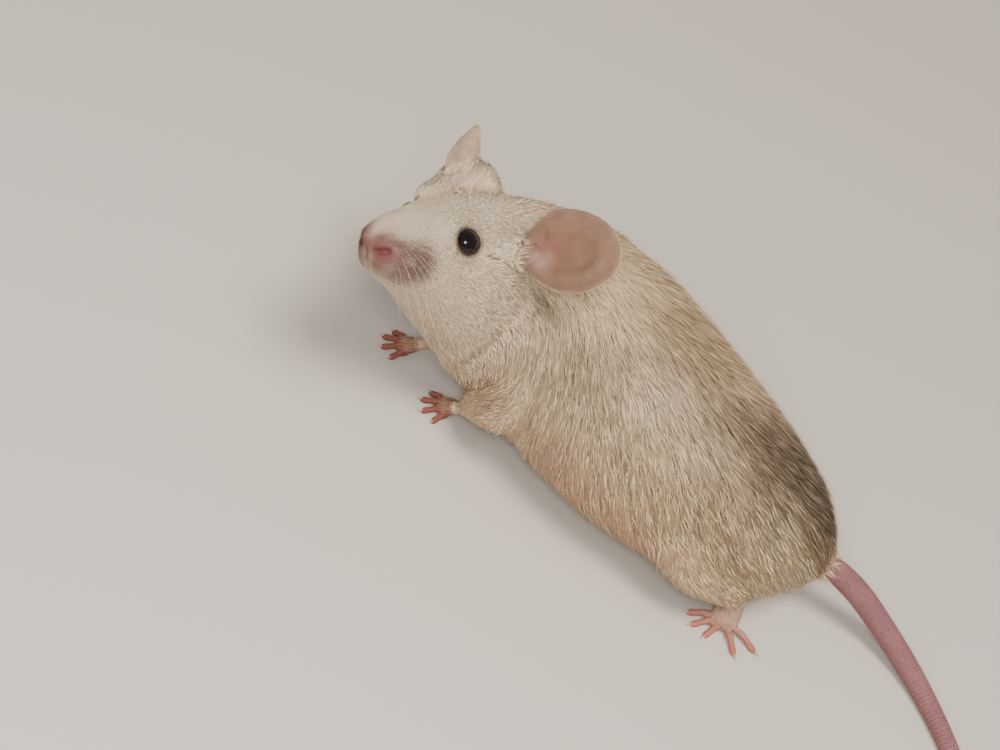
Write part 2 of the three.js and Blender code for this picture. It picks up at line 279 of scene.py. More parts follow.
for shape in EAR_SHAPES.values():
    made = bmesh.ops.create_uvsphere(flesh_bm, u_segments=64, v_segments=48, radius=1)["verts"]
    base, long, across, out = ear_axes(shape)
    ball = np.array([v.co for v in made])
    u, w, share = ball[:, 0], ball[:, 1], (ball[:, 2] + 1) / 2
    half = ear_half_width(share)
    sheet = np.sign(w) * np.minimum(np.abs(w) * 1.9, 1) * EAR["thickness"] / 2
    rim = 0.12 * ease(np.hypot(u, 2 * share - 1), 0.86, 0.97) * np.sign(w) * (np.abs(w) > 0.05)
    # on the hollow side: a knob in front of the opening, the hollow behind it and a soft inner fold
    hollow = np.where(w > 0, 1.0, 0.0)
    by_knob = ((share - 0.2) / 0.1) ** 2
    knob = 0.85 * np.exp(-by_knob - ((u - 0.28 * shape["side"]) / 0.25) ** 2) * hollow
    by_inner_fold = (np.hypot(u, 1.6 * share - 0.75) - 0.55) / 0.12
    fold = 0.35 * np.exp(-(by_inner_fold**2)) * hollow * (share > 0.25)
    bend = ear_bend(shape, share, u)
    lift = (sheet + rim + knob + fold + bend) * MM
    along = (share * EAR["length"] - 1) * MM
    places = base + long * along[:, None] + across * (u * half * MM)[:, None] + out * lift[:, None]
    for v, place in zip(made, places):
        v.co = place

# a soft mound of flesh carries each ear's base
for side, (back, left, up) in ((1, (18.6, 8.6, 4.2)), (-1, (21.9, 5.6, 6.2))):
    mound = [head_point(back - 1, side * (left - 2), up - 1), head_point(back, side * left, up),
             head_point(back + 1.6, side * (left + 1.9), up + 1.0)]
    add_limb(flesh_bm, mound, [(0, 2.0), (0.5, 2.3), (1, 1.5)], 20, 20)

# Feet: a flat sole with jointed toes that fan from its ball; the claws are set in them later. Each
# toe is its angle from the foot's heading, its length and how far behind the ball it starts.
SINK = 0.3
FORE_TOES = [(-36, 2.9, 0.4), (-13, 3.5, 0), (12, 3.5, 0), (36, 2.9, 0.4)]
FOOT_SHAPES = {
    "hind_left": dict(
        ankle=(-9.3, 9.0, 5.4), heel=(-16.49, 9.55, 2.9), heading=90, sole=9.6, width=4.2, thick=2.6,
        toes=[(-64, 4.0, 0.6), (-46, 4.4, 0.2), (-24, 3.8, 0), (36, 4.5, 0), (68, 4.9, 0.8)],
    ),
    "hind_right": dict(
        ankle=(-30.1, 7.6, 5.4), heel=(-29.69, 10.35, 2.4), heading=-24, sole=10, width=4.0, thick=2.6,
        toes=[(-34, 5.4, 2.2), (-14, 6.6, 0.2), (0, 6.8, 0), (14, 6.6, 0.2), (32, 5.6, 1.6)],
    ),
    "fore_left": dict(
        ankle=(-13.6, -34.3, 6.0), heel=(-16.69, -37.15, 1.5), heading=28, sole=2.8, width=3.2, thick=2.1,
        toes=FORE_TOES,
    ),
    "fore_right": dict(
        ankle=(-25.6, -41.3, 6.2), heel=(-22.99, -46.95, 1.5), heading=20, sole=2.6, width=3.1, thick=2.1,
        toes=FORE_TOES,
    ),
}
TOE_RADIUS = 0.45
TOE_RADII = [
    (0, 0.52), (0.3, 0.47), (0.42, 0.53), (0.56, 0.43), (0.7, 0.45), (0.84, 0.53), (0.94, 0.46), (1, 0.32),
]
TOE_PAD_RADIUS = 0.42
claw_seats = []
for name, foot in FOOT_SHAPES.items():
    turn = math.radians(foot["heading"])
    ahead = np.array((math.sin(turn), -math.cos(turn), 0))
    sideways = np.array((math.cos(turn), math.sin(turn), 0))
    heel = np.array(foot["heel"])
    width, thick, sole = foot["width"], foot["thick"], foot["sole"]

    def on_foot(forward, left, height):
        flat = heel * (1, 1, 0) + ahead * forward + sideways * left
        return (flat + np.array((0, 0, height - SINK))) * MM

    sole_line = [
        on_foot(0, 0, heel[2]),
        on_foot(sole / 2, 0, (heel[2] + thick) * 0.42),
        on_foot(sole, 0, thick * 0.42),
    ]
    sole_widths = [(0, width * 0.42), (0.5, width * 0.44), (0.85, width * 0.5), (1, width * 0.42)]
    add_limb(flesh_bm, sole_line, sole_widths, 24, 24, thick / width)
    fore = name.startswith("fore")
    ankle = np.array(foot["ankle"]) * MM
    wrist = [
        ankle,
        ankle * 0.45 + on_foot(0.3, 0, 1.7) * 0.55,
        on_foot(sole * (0.6 if fore else 0.35), 0, thick * 0.5),
    ]
    wrist_radii = [(0, 1.5), (0.5, 1.15), (1, 1.0)] if fore else [(0, 1.9), (0.5, 1.5), (1, 1.3)]
    add_limb(flesh_bm, wrist, wrist_radii)
    count = len(foot["toes"])
    for i, (angle, length, back) in enumerate(foot["toes"]):
        spread = math.radians(angle)
        way = ahead * math.cos(spread) + sideways * math.sin(spread)
        root = on_foot(sole - 1 - back, (i / (count - 1) - 0.5) * width * 0.7, 0)

        def on_toe(share, height):
            return root + way * share * length * MM + np.array((0, 0, height * TOE_RADIUS * MM))

        toe = [on_toe(-0.1, 1.7), on_toe(0.2, 2.2), on_toe(0.45, 2.5), on_toe(0.75, 1.6), on_toe(1, 1.25)]
        add_limb(flesh_bm, toe, TOE_RADII, 14, 26)
        claw_seats.append((on_toe(0.92, 1.6), on_toe(1.05, 1.6), on_toe(1.13, 1.0)))
        # a round pad under the toe's end
        pad = bmesh.ops.create_icosphere(flesh_bm, subdivisions=2, radius=TOE_PAD_RADIUS * MM)["verts"]
        bmesh.ops.translate(flesh_bm, verts=pad, vec=Vector(on_toe(0.88, 0.95)))

skin_mesh = bpy.data.meshes.new("skin")
flesh_bm.to_mesh(skin_mesh)
flesh_bm.free()
skin = bpy.data.objects.new("skin", skin_mesh)
bpy.context.scene.collection.objects.link(skin)


def apply_modifiers(obj):
    """Gives an object the mesh that its modifiers make, and clears them."""
    graph = bpy.context.evaluated_depsgraph_get()
    made = bpy.data.meshes.new_from_object(obj.evaluated_get(graph))
    obj.modifiers.clear()
    obj.data = made


VOXEL = 0.2 * MM
remesh = skin.modifiers.new("one_skin", "REMESH")
remesh.mode = "VOXEL"
remesh.voxel_size = VOXEL
apply_modifiers(skin)

# ---- Skin: drawn in under the coat -----------------------------------------------------------
# Where hair grows the hide lies below the tips of the coat by the coat's own depth, thin on the
# face and feet and deeper on the flanks.


def arrays(mesh):
    """Vertex places and normals of a mesh."""
    co = np.empty(len(mesh.vertices) * 3, np.float32)
    mesh.vertices.foreach_get("co", co)
    no = np.empty(len(mesh.vertices) * 3, np.float32)
    mesh.vertex_normals.foreach_get("vector", no)
    return co.reshape(-1, 3).astype(float), no.reshape(-1, 3).astype(float)


def move_to(places):
    """Moves the skin's points."""
    skin.data.vertices.foreach_set("co", places.astype(np.float32).ravel())
    skin.data.update()


# Which CAD node each point of the skin belongs to.
node_of_face = []
corners = []
faces = []
for index, name in enumerate(FLESH):
    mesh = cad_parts[name].data
    start = len(corners)
    corners.extend(tuple(v.co) for v in mesh.vertices)
    faces.extend(tuple(start + i for i in p.vertices) for p in mesh.polygons)
    node_of_face.extend([index] * len(mesh.polygons))
flesh_tree = BVHTree.FromPolygons(corners, faces)


def nodes_at(places):
    """For each CAD node, which of the places lie on it."""
    at = np.array([node_of_face[flesh_tree.find_nearest(p)[2]] for p in places.tolist()])
    return {name: at == index for index, name in enumerate(FLESH)}


def relax(values, rounds, keep=None):
    """Averages values over the skin's edges, a number of times."""
    mesh = skin.data
    edges = np.empty(len(mesh.edges) * 2, np.int32)
    mesh.edges.foreach_get("vertices", edges)
    a, b = edges[::2], edges[1::2]
    count = len(mesh.vertices)
    degree = np.bincount(a, minlength=count) + np.bincount(b, minlength=count)
    values = np.array(values, float)
    flat = values.reshape(count, -1)
    free = 0.5 if keep is None else (1 - keep)[:, None] / 2
    for _ in range(rounds):
        total = np.column_stack([
            np.bincount(a, flat[b, k], count) + np.bincount(b, flat[a, k], count)
            for k in range(flat.shape[1])
        ]) / degree[:, None]
        flat = flat + (total - flat) * free
    return flat.reshape(values.shape)


THROAT = (21.2, 7.7, -9.5)
THROAT_REACH = 7.5
FURRED_ROUNDS, THROAT_ROUNDS = 90, 260
HIDE_SINK = SWELL / MM * 0.9
co, no = arrays(skin.data)
on = nodes_at(co)
bare = np.zeros(len(co))
for name in FLESH:
    if name.endswith("foot") or name in TAIL or name in EARS:
        bare[on[name]] = 1.0
bare = relax(bare, 5)
co = relax(co, 2)
co = relax(co, FURRED_ROUNDS, np.clip(bare * 1.6, 0, 1))
# the throat runs smoothly into the chest
throat = np.exp(-(np.linalg.norm(on_head_axes(co) - THROAT, axis=1) / THROAT_REACH) ** 2)
co = relax(co, THROAT_ROUNDS, 1 - np.clip(throat * 1.7, 0, 1) * (1 - bare))
move_to(co)

COAT_DEPTH = {"neck": 1.2, "chest": 1.4, "belly": 1.4, "rump": 1.3}
depth = np.zeros(len(co))
for name in TRUNK[1:]:
    depth[on[name]] = COAT_DEPTH[name]
for leg in LEGS:
    chosen = on[f"{leg}_leg"]
    depth[chosen] = np.interp(co[chosen, 2] / MM, [2, 5, 9], [0.2, 0.35, 0.9])
head = on_head_axes(co)
chosen = on["head"]
depth[chosen] = np.interp(head[chosen, 0], [0, 3, 6, 12, 20, 26], [0.0, 0.12, 0.25, 0.4, 0.7, 1.1])
# the furred fold at the base of the right ear is thin, so the hide stays close under its hair
EAR_FOLD = np.vstack([
    smooth_line([head_point(23.4, -4.4, 8.5), head_point(22.7, -5.4, 9.8), head_point(21.8, -7, 12.8)], 12),
    smooth_line([
        head_point(12, -5.6, 6.4), head_point(15, -6.8, 7.4), head_point(19, -8, 9.6),
        head_point(21.5, -8.2, 12),
    ], 18),
])
from_fold = np.linalg.norm(co[:, None] - EAR_FOLD[None], axis=2).min(1) / MM
depth = np.where(bare > 0.5, 0, np.minimum(depth, np.interp(from_fold, [2.6, 4.4], [0.4, 2.0])))
depth = relax(depth, 24)
depth *= 1 - bare
co, no = arrays(skin.data)
co = co - no * ((depth + HIDE_SINK * (1 - bare)) * MM)[:, None]
co = relax(co, 3, np.clip(bare, 0, 1))
move_to(co)

# ---- Skin: modelling of the head -------------------------------------------------------------
# Lids that hug the eyeballs, a small nose pad with comma nostrils, the groove down to the lips, full
# whisker pads, the mouth's crease and the small lower jaw, all pressed into or raised from the hide.
EYE_RADIUS = 1.65
OPENING = 1.63
LIDS = [(1.5, 0.86), (1.66, 0.78), (1.82, 0.6), (2.2, 0.3), (2.7, 0.0), (3.3, -0.4)]
eye_seats = {}
for side, name in ((1, "eye_left"), (-1, "eye_right")):
    low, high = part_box(name)
    centre = np.array((low + high) / 2)
    axis = head_way(-0.29, side * 0.85, 0.45)
    fore = unit(-HEAD_AXES[0] - axis * (-HEAD_AXES[0] @ axis))
    eye_seats[name] = (centre, axis, fore)
    q = (co - centre) / MM
    height = q @ axis
    flat = q - height[:, None] * axis
    rho = np.linalg.norm(flat, axis=1)
    near = (rho < 3.4) & (height > -1.6)
    along = (flat @ fore) / np.maximum(rho, 1e-6)
    opening = OPENING * (1 + 0.05 * (2 * along**2 - 1) + 0.05 * np.clip(-along, 0, 1) ** 6)
    gap = rho - opening
    snapped = np.where(np.abs(gap) < 0.11, opening, rho)
    lids = np.interp(snapped / opening * OPENING, *zip(*LIDS))
    raised = np.maximum(height, lids)
    tucked = np.sqrt(np.maximum(1.35**2 - (snapped * 0.82) ** 2, 0.02))
    height = np.where(near, np.where(gap < -0.11, tucked, raised), height)
    flat = flat * (snapped / np.maximum(rho, 1e-6))[:, None]
    co = np.where(near[:, None], centre + (flat + height[:, None] * axis) * MM, co)
move_to(co)
around_eyes = np.zeros(len(co))
for centre, axis, fore in eye_seats.values():
    q = (co - centre) / MM
    rho = np.linalg.norm(q - (q @ axis)[:, None] * axis, axis=1)
    around_eyes = np.maximum(around_eyes, (np.linalg.norm(q, axis=1) < 4) * ease(rho, 1.75, 2.1))
co = relax(co, 6, 1 - around_eyes)
move_to(co)

face = np.nonzero(on["head"] & (on_head_axes(co)[:, 0] < 12))[0]
face_places = on_head_axes(co[face])


def spot(back, left, up, reach):
    """How near the face's points are to a place: 1 there, falling off over the reach."""
    gap = np.linalg.norm(face_places - (back, left, up), axis=1)
    return np.exp(-((gap / reach) ** 2))


def crease(points, reach):
    """As spot, along a smooth line."""
    line = smooth_line(points, 30)
    gap = np.linalg.norm(face_places[:, None] - line[None], axis=2).min(1)
    return np.exp(-((gap / reach) ** 2))


NOSTRIL = [(0.0, 1.45, -0.95), (0.25, 1.95, -0.85), (0.55, 2.4, -0.55), (0.95, 2.8, -0.35)]
NOSTRIL_WIDTH = 0.36
PHILTRUM = [(0.0, 0, -1.1), (0.8, 0, -2.3), (2.2, 0, -3.5)]
MOUTH = [(2.0, 0, -3.4), (2.9, 1.5, -3.9), (4.6, 2.7, -4.3), (7.2, 3.6, -4.3), (9.0, 4.3, -4.1)]


def mirrored(points, side):
    """Points of the head's left side, carried to the given side."""
    return [(b, side * l, u) for b, l, u in points]


relief = 0.22 * spot(-0.1, 0, -0.2, 1.3) + 0.1 * spot(0.4, 0, 1.4, 0.8)
relief -= 0.34 * crease(PHILTRUM, 0.26)
relief -= 0.28 * spot(6.0, 0, -6.0, 2.6)
follicles = np.zeros(len(face))
whisker_roots = []
for side in (1, -1):
    relief -= 0.7 * crease(mirrored(NOSTRIL, side), NOSTRIL_WIDTH)
    relief += 0.2 * crease(mirrored([(0.0, 1.6, 0.3), (0.8, 2.4, 0.6), (1.5, 2.9, 0.5)], side), 0.45)
    relief += 0.5 * spot(4.0, side * 3.7, -1.0, 2.0) + 0.25 * spot(2.3, side * 1.7, -2.9, 1.1)
    relief -= 0.3 * crease(mirrored(MOUTH, side), 0.28)
    relief += 0.2 * spot(8.0, side * 4.4, 5.6, 2.0)
    for row in range(5):
        for step in range(5 if row < 4 else 4):
            back, out, up = 2.6 + 1.05 * step + 0.15 * row, 2.9 + 0.5 * step, 1.7 - 0.95 * row - 0.12 * step
            nearest = np.linalg.norm(face_places - (back, side * out, up), axis=1).argmin()
            whisker_roots.append((side, row, step, face[nearest]))
for side, row, step, index in whisker_roots:
    at = on_head_axes(co[index])
    follicles = np.maximum(follicles, spot(*at, 0.24))
relief += 0.07 * follicles
co, no = arrays(skin.data)
co[face] += no[face] * relief[:, None] * MM
whisker_seats = [
    (side, row, step, co[index].copy(), no[index].copy()) for side, row, step, index in whisker_roots
]
co[:, 2] = np.maximum(co[:, 2], 0.02 * MM)
move_to(co)

# Few faces where the coat hides the hide, and all of them kept on the face, ears, feet and tail.
SKIN_FACES = 184000
close_work = np.zeros(len(co))
close_work[bare > 0.3] = 1
close_work[face] = 1
close_work[(on_head_axes(co)[:, 0] < 15) & on["head"]] = 1
close_work = relax(close_work, 3)
lightly = skin.vertex_groups.new(name="hidden")
order = np.round(close_work, 1)
for value in np.unique(order):
    lightly.add(np.nonzero(order == value)[0].tolist(), float(1 - value), "REPLACE")
thin = skin.modifiers.new("thin", "DECIMATE")
thin.ratio = min(1.0, SKIN_FACES / (2 * len(co)))
thin.vertex_group = "hidden"
thin.vertex_group_factor = 1.0
apply_modifiers(skin)
skin.vertex_groups.clear()
for polygon in skin.data.polygons:
    polygon.use_smooth = True

# ---- Skin: colour ----------------------------------------------------------------------------
# Pink and bare on the nose, feet and tail, thin and tan on the ears. Elsewhere the hide takes the coat's
# own markings: cream, whiter on the face, with a grey-brown saddle and fainter clouds, and painted rosy
# bounce light and shade low on the belly.
SPINE = smooth_line([
    head_point(-2, 0, 0), head_point(8, 0, 0), head_point(16, 0, 0),
    *(np.array(p) * MM for p in [
        (-20.4, -41.7, 23.0), (-22.9, -33.7, 20.5), (-22.1, -23.8, 17.2), (-19.9, -12.8, 14.7),
        (-18.4, -2.3, 12.8), (-18.1, 7.7, 11.6), (-18.7, 18.7, 11.0), (-18.9, 24.0, 10.5),
    ])
], 240)
SPINE_STEP = np.linalg.norm(SPINE[1] - SPINE[0]) / MM


def along_line(line, places):
    """Nearest index on a line, tangent there and offset from it."""
    best = np.zeros(len(places), int)
    for i in range(0, len(places), 4000):
        dots = places[i:i + 4000] @ line.T
        best[i:i + 4000] = ((line**2).sum(1) - 2 * dots).argmin(1)
    tangent = unit(np.gradient(line, axis=0))
    return best, tangent[best], places - line[best]


FAR = 9.0
COAT_REACH = 2.5


def beside(line, places, normals):
    """Millimetres from places to a line drawn over them, measured across the hide's normals."""
    away = places[:, None] - line[None]
    deep = (away * normals[:, None]).sum(2)
    flat = np.linalg.norm(away - deep[:, :, None] * normals[:, None], axis=2)
    return np.where(np.abs(deep) < COAT_REACH * MM, flat / MM, FAR).min(1)


def ripple(places, size, seed, waves=7):
    """A soft random pattern between about -1 and 1, with features of the given size in millimetres."""
    draw = np.random.default_rng(seed)
    ways = unit(draw.normal(size=(waves, 3))) * draw.uniform(0.7, 1.4, (waves, 1)) * 2 * np.pi / (size * MM)
    return np.sin(places @ ways.T + draw.uniform(0, 2 * np.pi, waves)).sum(1) / math.sqrt(waves)


CREAM = np.array((0.82, 0.615, 0.39))
WHITE = np.array((0.86, 0.715, 0.54))
TAN = np.array((0.42, 0.295, 0.185))
SLATE = np.array((0.31, 0.23, 0.165))
# painted rosy light bounced up onto the low belly and chest, darkened as painted shade
ROSY_BOUNCE_SHADE = np.array((0.74, 0.46, 0.34))
YELLOWISH = np.array((0.78, 0.60, 0.37))
# markings of the coat, and patches of painted rosy bounce light and shade low on the belly: colour,
# strength, then where they lie and their reach, in millimetres
MARKS = [
    (SLATE, 0.55, (-16.7, -5.6, 27.8), 3.0), (SLATE, 0.8, (-17.2, -1.9, 26.5), 3.6),
    (SLATE, 1.0, (-19.2, 0.9, 25.7), 4.2), (SLATE, 0.55, (-14.6, 1.8, 25.0), 3.4),
    (SLATE, 1.0, (-17.9, 4.4, 24.4), 4.6), (SLATE, 0.6, (-14.0, 6.1, 23.0), 3.4),
    (SLATE, 1.0, (-17.6, 9.4, 22.0), 4.8), (SLATE, 1.0, (-18.5, 12.4, 20.5), 4.4),
    (SLATE, 0.8, (-16.0, 14.6, 18.3), 3.4), (SLATE, 0.7, (-23.5, 3.1, 24.2), 4.6),
    (SLATE, 0.7, (-24.5, 9.5, 21.0), 4.2), (SLATE, 0.3, (-9.8, 1.6, 22.6), 4.2),
    (TAN, 0.7, (-18.4, -14.8, 31.1), 4.2), (TAN, 0.6, (-18.8, -18.9, 32.4), 4.2),
    (TAN, 0.5, (-17.4, -10.8, 29.6), 3.6), (TAN, 0.3, (-15.0, -22.4, 31.6), 4.0),
    (TAN, 0.32, (-12.2, -3.4, 26.0), 3.0), (TAN, 0.35, (-9.0, -5.0, 20.0), 4.5),
    (SLATE, 0.34, (-11.3, -28.6, 26.0), 3.0), (TAN, 0.42, (-11.3, -24.8, 28.3), 3.0),
    (SLATE, 0.22, (-8.7, -23.2, 24.6), 3.2), (TAN, 0.4, (-14.6, -33.5, 28.5), 3.2),
    (TAN, 0.45, (-27.5, -12.0, 27.0), 5.0), (SLATE, 0.4, (-29.5, 4.0, 17.5), 4.5),
    (WHITE, 0.8, (-11.0, -16.4, 28.2), 3.6), (WHITE, 0.7, (-10.6, -8.2, 26.1), 2.8),
    (WHITE, 0.45, (-8.0, 5.9, 19.3), 3.6), (YELLOWISH, 0.75, (-7.5, 9.4, 15.0), 4.4),
    (TAN, 0.45, (-6.7, 11.8, 12.0), 1.6), (ROSY_BOUNCE_SHADE, 0.6, (-5.6, -20.6, 11.2), 5.0),
    (ROSY_BOUNCE_SHADE, 0.6, (-5.0, -8.8, 6.8), 5.5), (ROSY_BOUNCE_SHADE, 0.45, (-10.5, -34.5, 13.5), 4.0),
    (SLATE, 0.5, (-18.3, 0.1, 26.0), 4.5), (SLATE, 0.5, (-14.0, -7.2, 27.5), 2.6),
    (SLATE, 0.5, (-11.8, -1.1, 24.9), 2.6), (SLATE, 0.35, (-13.9, -10.3, 28.4), 2.6),
    (SLATE, 0.5, (-15.8, 10.1, 21.4), 3.4), (TAN, 0.4, (-14.5, -3.0, 26.6), 4.0),
    (WHITE, 0.8, (-8.4, 12.4, 12.3), 3.6), (WHITE, 0.8, (-11.7, 8.6, 5.6), 3.6),
    (WHITE, 0.5, (-10.1, 12.6, 16.3), 2.4), (ROSY_BOUNCE_SHADE, 0.4, (-3.6, -5.3, 9.0), 3.4),
    (ROSY_BOUNCE_SHADE, 0.4, (-4.0, -14.2, 10.5), 3.4), (ROSY_BOUNCE_SHADE, 0.4, (-6.1, -22.8, 13.0), 3.0),
    (TAN, 0.4, (-9.2, -45.2, 16.7), 2.6), (TAN, 0.3, (-20.4, -36.4, 33.2), 4.0),
    (YELLOWISH, 0.75, (-8.0, -43.6, 19.6), 3.0), (WHITE, 0.8, (-8.5, -40.0, 21.5), 4.0),
]


def coat_colour(places):
    """The colour that the hair carries at each place, with the painted rosy bounce light and shade, and how
    dark a marking it stands in.
    """
    back = on_head_axes(places)[:, 0]
    colour = WHITE + (CREAM - WHITE) * ease(back, 11, 32)[:, None]
    colour = colour * (1 + 0.05 * ripple(places, 7, 5) + 0.03 * ripple(places, 3, 6))[:, None]
    dark = np.zeros(len(places))
    wander = places + 1.1 * MM * np.column_stack([ripple(places, 4.5, seed) for seed in (11, 12, 13)])
    for tint, strength, centre, reach in MARKS:
        gap = np.linalg.norm(wander / MM - centre, axis=1) / reach
        share = strength * np.exp(-(gap**2) * 0.9)
        colour = colour + (tint - colour) * share[:, None]
        if tint is SLATE:
            dark = np.maximum(dark, share)
    return colour, dark


NOSE_PINK = np.array((0.15, 0.052, 0.05))
MUZZLE_PINK = np.array((0.175, 0.093, 0.083))
# a near-black red, painted as shade in the nostrils
NOSTRIL_SHADE_RED = np.array((0.035, 0.004, 0.004))
EAR_TAN = np.array((0.188, 0.108, 0.074))
EAR_PINK = np.array((0.2, 0.08, 0.065))
EAR_PALE = np.array((0.35, 0.24, 0.175))
EAR_BACK = np.array((0.70, 0.56, 0.44))
FOOT_PINK = np.array((0.43, 0.235, 0.19))
FOOT_RED = np.array((0.37, 0.135, 0.10))
TAIL_PINK = np.array((0.24, 0.108, 0.12))
LID_DARK = np.array((0.035, 0.02, 0.016))
LID_CORNER = np.array((0.30, 0.15, 0.11))
# dusky colour, also used as painted shade under the whisker pads
DUSKY_AND_SHADE = np.array((0.25, 0.155, 0.13))


def blend_to(colour, tint, share):
    """Each colour run towards a tint by its share."""
    return colour + (tint - colour) * np.clip(share, 0, 1)[:, None]


co, no = arrays(skin.data)
on = nodes_at(co)
on_foot_skin = np.any([on[f"{leg}_foot"] for leg in LEGS], axis=0).astype(float)
tail_at, tail_way, tail_off = along_line(TAIL_LINE, co)
tail_run = tail_at * np.linalg.norm(TAIL_LINE[1] - TAIL_LINE[0]) / MM
TAIL_BARE = 5.0
tail_edge = np.interp(tail_run / tail_run.max(), *zip(*TAIL_RADII)) + 0.35
near_tail = np.linalg.norm(tail_off, axis=1) / MM < tail_edge
on_tail_skin = (near_tail & (tail_run > TAIL_BARE)).astype(float)
HIDE_SHADE = 0.86
paint, _ = coat_colour(co)
paint = paint * HIDE_SHADE
head = on_head_axes(co)

# the pink of the muzzle, redder on the nose pad, with painted dark red shade in the nostrils and painted
# shade under the whisker pads
face = np.nonzero(on["head"] & (head[:, 0] < 14))[0]
face_places = head[face]
pink = np.zeros(len(face))
pad = 0.9 * spot(-0.1, 0, -0.4, 1.5)
pit = np.zeros(len(face))
dusk_and_shade = np.zeros(len(face))
PINK_BANDS = [
    (1.0, [(0.6, 2.0, 0.1), (2.6, 3.3, 0.0), (4.6, 4.4, 0.2)], 2.1),
    (0.85, [(1.2, 1.9, -1.7), (3.2, 3.3, -1.8), (4.8, 4.3, -1.3)], 2.2),
    (1.0, [(1.0, 2.3, -1.3), (2.0, 3.0, -1.7), (3.4, 3.7, -1.2)], 1.3),
]
# a band of painted shade under each whisker pad, then a dusky band over the pad
DUSKY_AND_SHADE_BANDS = [
    (0.6, [(2.0, 2.4, -2.8), (4.2, 3.8, -2.8), (5.6, 4.6, -1.4)], 2.4),
    (0.75, [(1.0, 2.3, -1.2), (3.0, 3.6, -1.3), (5.0, 4.5, -0.9)], 2.5),
]
for side in (1, -1):
    for strength, line, reach in PINK_BANDS:
        pink = np.maximum(pink, strength * crease(mirrored(line, side), reach))
    for strength, line, reach in DUSKY_AND_SHADE_BANDS:
        dusk_and_shade = np.maximum(dusk_and_shade, strength * crease(mirrored(line, side), reach))
    pit = np.maximum(pit, crease(mirrored(NOSTRIL, side), NOSTRIL_WIDTH))
    pad = np.maximum(pad, 0.9 * crease(mirrored([(0.0, 1.2, -0.6), (0.9, 2.5, -0.6)], side), 1.25))
dusk_and_shade = np.maximum(dusk_and_shade, 0.55 * spot(3.9, -1.4, 4.2, 0.9))
dots = np.zeros(len(face))
for side, row, step, at, way in whisker_seats:
    dots = np.maximum(dots, spot(*on_head_axes(at), 0.26))
look = paint[face]
# painted shade under the whisker pads, and dusky colour over them and above the nose
look = blend_to(look, DUSKY_AND_SHADE, dusk_and_shade)
look = blend_to(look, MUZZLE_PINK, pink * (1.15 + 0.2 * ripple(co[face], 1.5, 25)))
look = blend_to(look, MUZZLE_PINK * (0.62, 0.5, 0.5), dots * np.clip(pink * 2, 0, 1) * 0.8)
look = blend_to(look, NOSE_PINK, pad)
look = blend_to(look, NOSE_PINK * 0.75, 0.6 * crease(PHILTRUM, 0.4))
# painted dark red shade in the nostrils
round_nostrils = np.maximum(spot(0.3, 1.95, -0.85, 0.75), spot(0.3, -1.95, -0.85, 0.75))
look = blend_to(look, NOSTRIL_SHADE_RED * 2.5, 0.6 * round_nostrils)
look = blend_to(look, NOSTRIL_SHADE_RED, pit * 1.8)
paint[face] = look
# how thickly hair grows there, and how far it takes the hide's own colour
fuzz_share = np.ones(len(co))
fuzz_share[face] = 1 - np.clip(pink * 0.35 + pad * 0.9 + pit * 1.5, 0, 1)
stain = np.zeros(len(co))
stain[face] = np.clip(pink * 0.85 + dusk_and_shade + pad, 0, 0.85)

# lids: a thin dark margin, and a brownish pink corner towards the ear
lids = np.zeros(len(co))
for centre, axis, fore in eye_seats.values():
    q = (co - centre) / MM
    height = q @ axis
    flat = q - height[:, None] * axis
    rho = np.linalg.norm(flat, axis=1)
    reach = (np.linalg.norm(q, axis=1) < 2.7) & (height > -0.6) & (height < 1.9 - 0.6 * (centre[0] < 0))
    lids = np.maximum(lids, reach * np.exp(-np.clip((rho - OPENING - 0.18) / 0.24, 0, 9) ** 2))
    corner = np.linalg.norm(flat + fore * 1.9, axis=1)
    paint = blend_to(paint, LID_CORNER, 0.8 * reach * np.exp(-((corner / 0.5) ** 2)))
    fuzz_share = np.where(reach & (rho < OPENING + 0.2), 0, fuzz_share)
    lid_stain = 0.8 * (1 - ease(rho, OPENING + 0.2, OPENING + 0.55))
    stain = np.where(reach, np.maximum(stain, lid_stain), stain)
paint = blend_to(paint, LID_DARK, lids)

# ears: tan and finely veined on the hollow side, redder in the hollow, paler at the rim and back
ear_of_skin = {}
for name, shape in EAR_SHAPES.items():
    at = np.nonzero(on[name])[0]
    share, u, out = ear_place(shape, co[at])
    edge = np.hypot(u, 2 * share - 1)
    angle = np.arctan2(u, share + 0.1)
    branches = np.sin(angle * 9 + 1.5 * ripple(co[at], 6, 31))
    veins = np.exp(-((branches / 0.16) ** 2)) * ease(share, 0.15, 0.4)
    veins = veins * (1 - ease(edge, 0.75, 0.95))
    inside = EAR_TAN * (1 + 0.06 * ripple(co[at], 2.2, 33))[:, None]
    across = u * shape["side"]
    inside = blend_to(inside, EAR_PALE, 0.12 * ease(edge, 0.85, 1.0) + 0.1 * ease(share, 0.6, 1.0))
    by_hollow = ((share - 0.32) / 0.13) ** 2
    inside = blend_to(inside, EAR_PINK, np.exp(-by_hollow - ((across + 0.12) / 0.28) ** 2))
    by_lobe = ((share - 0.21) / 0.1) ** 2
    pale_lobe = 0.75 * np.exp(-by_lobe - ((across - 0.24) / 0.24) ** 2)
    inside = blend_to(inside, EAR_PALE * (1.0, 0.95, 1.05), pale_lobe)
    inside = blend_to(inside, EAR_PINK * 0.8, veins * 0.3)
    outside = blend_to(EAR_BACK * np.ones((len(at), 1)), EAR_TAN, 0.4 * ease(edge, 0.8, 1.0))
    bare_edge = ease(-across, 0.7, 0.95) * (name == "ear_right")
    if name == "ear_right":
        outside = blend_to(outside, EAR_TAN * 1.8, 0.8 * bare_edge)
        inside = blend_to(inside, EAR_BACK, np.full(len(at), 0.5))
    paint[at] = np.where((out > 0)[:, None], inside, outside)
    stain[at] = np.where(out > 0, 0.92, 0.1 + 0.4 * bare_edge)
    ear_of_skin[name] = (at, share, u, out)
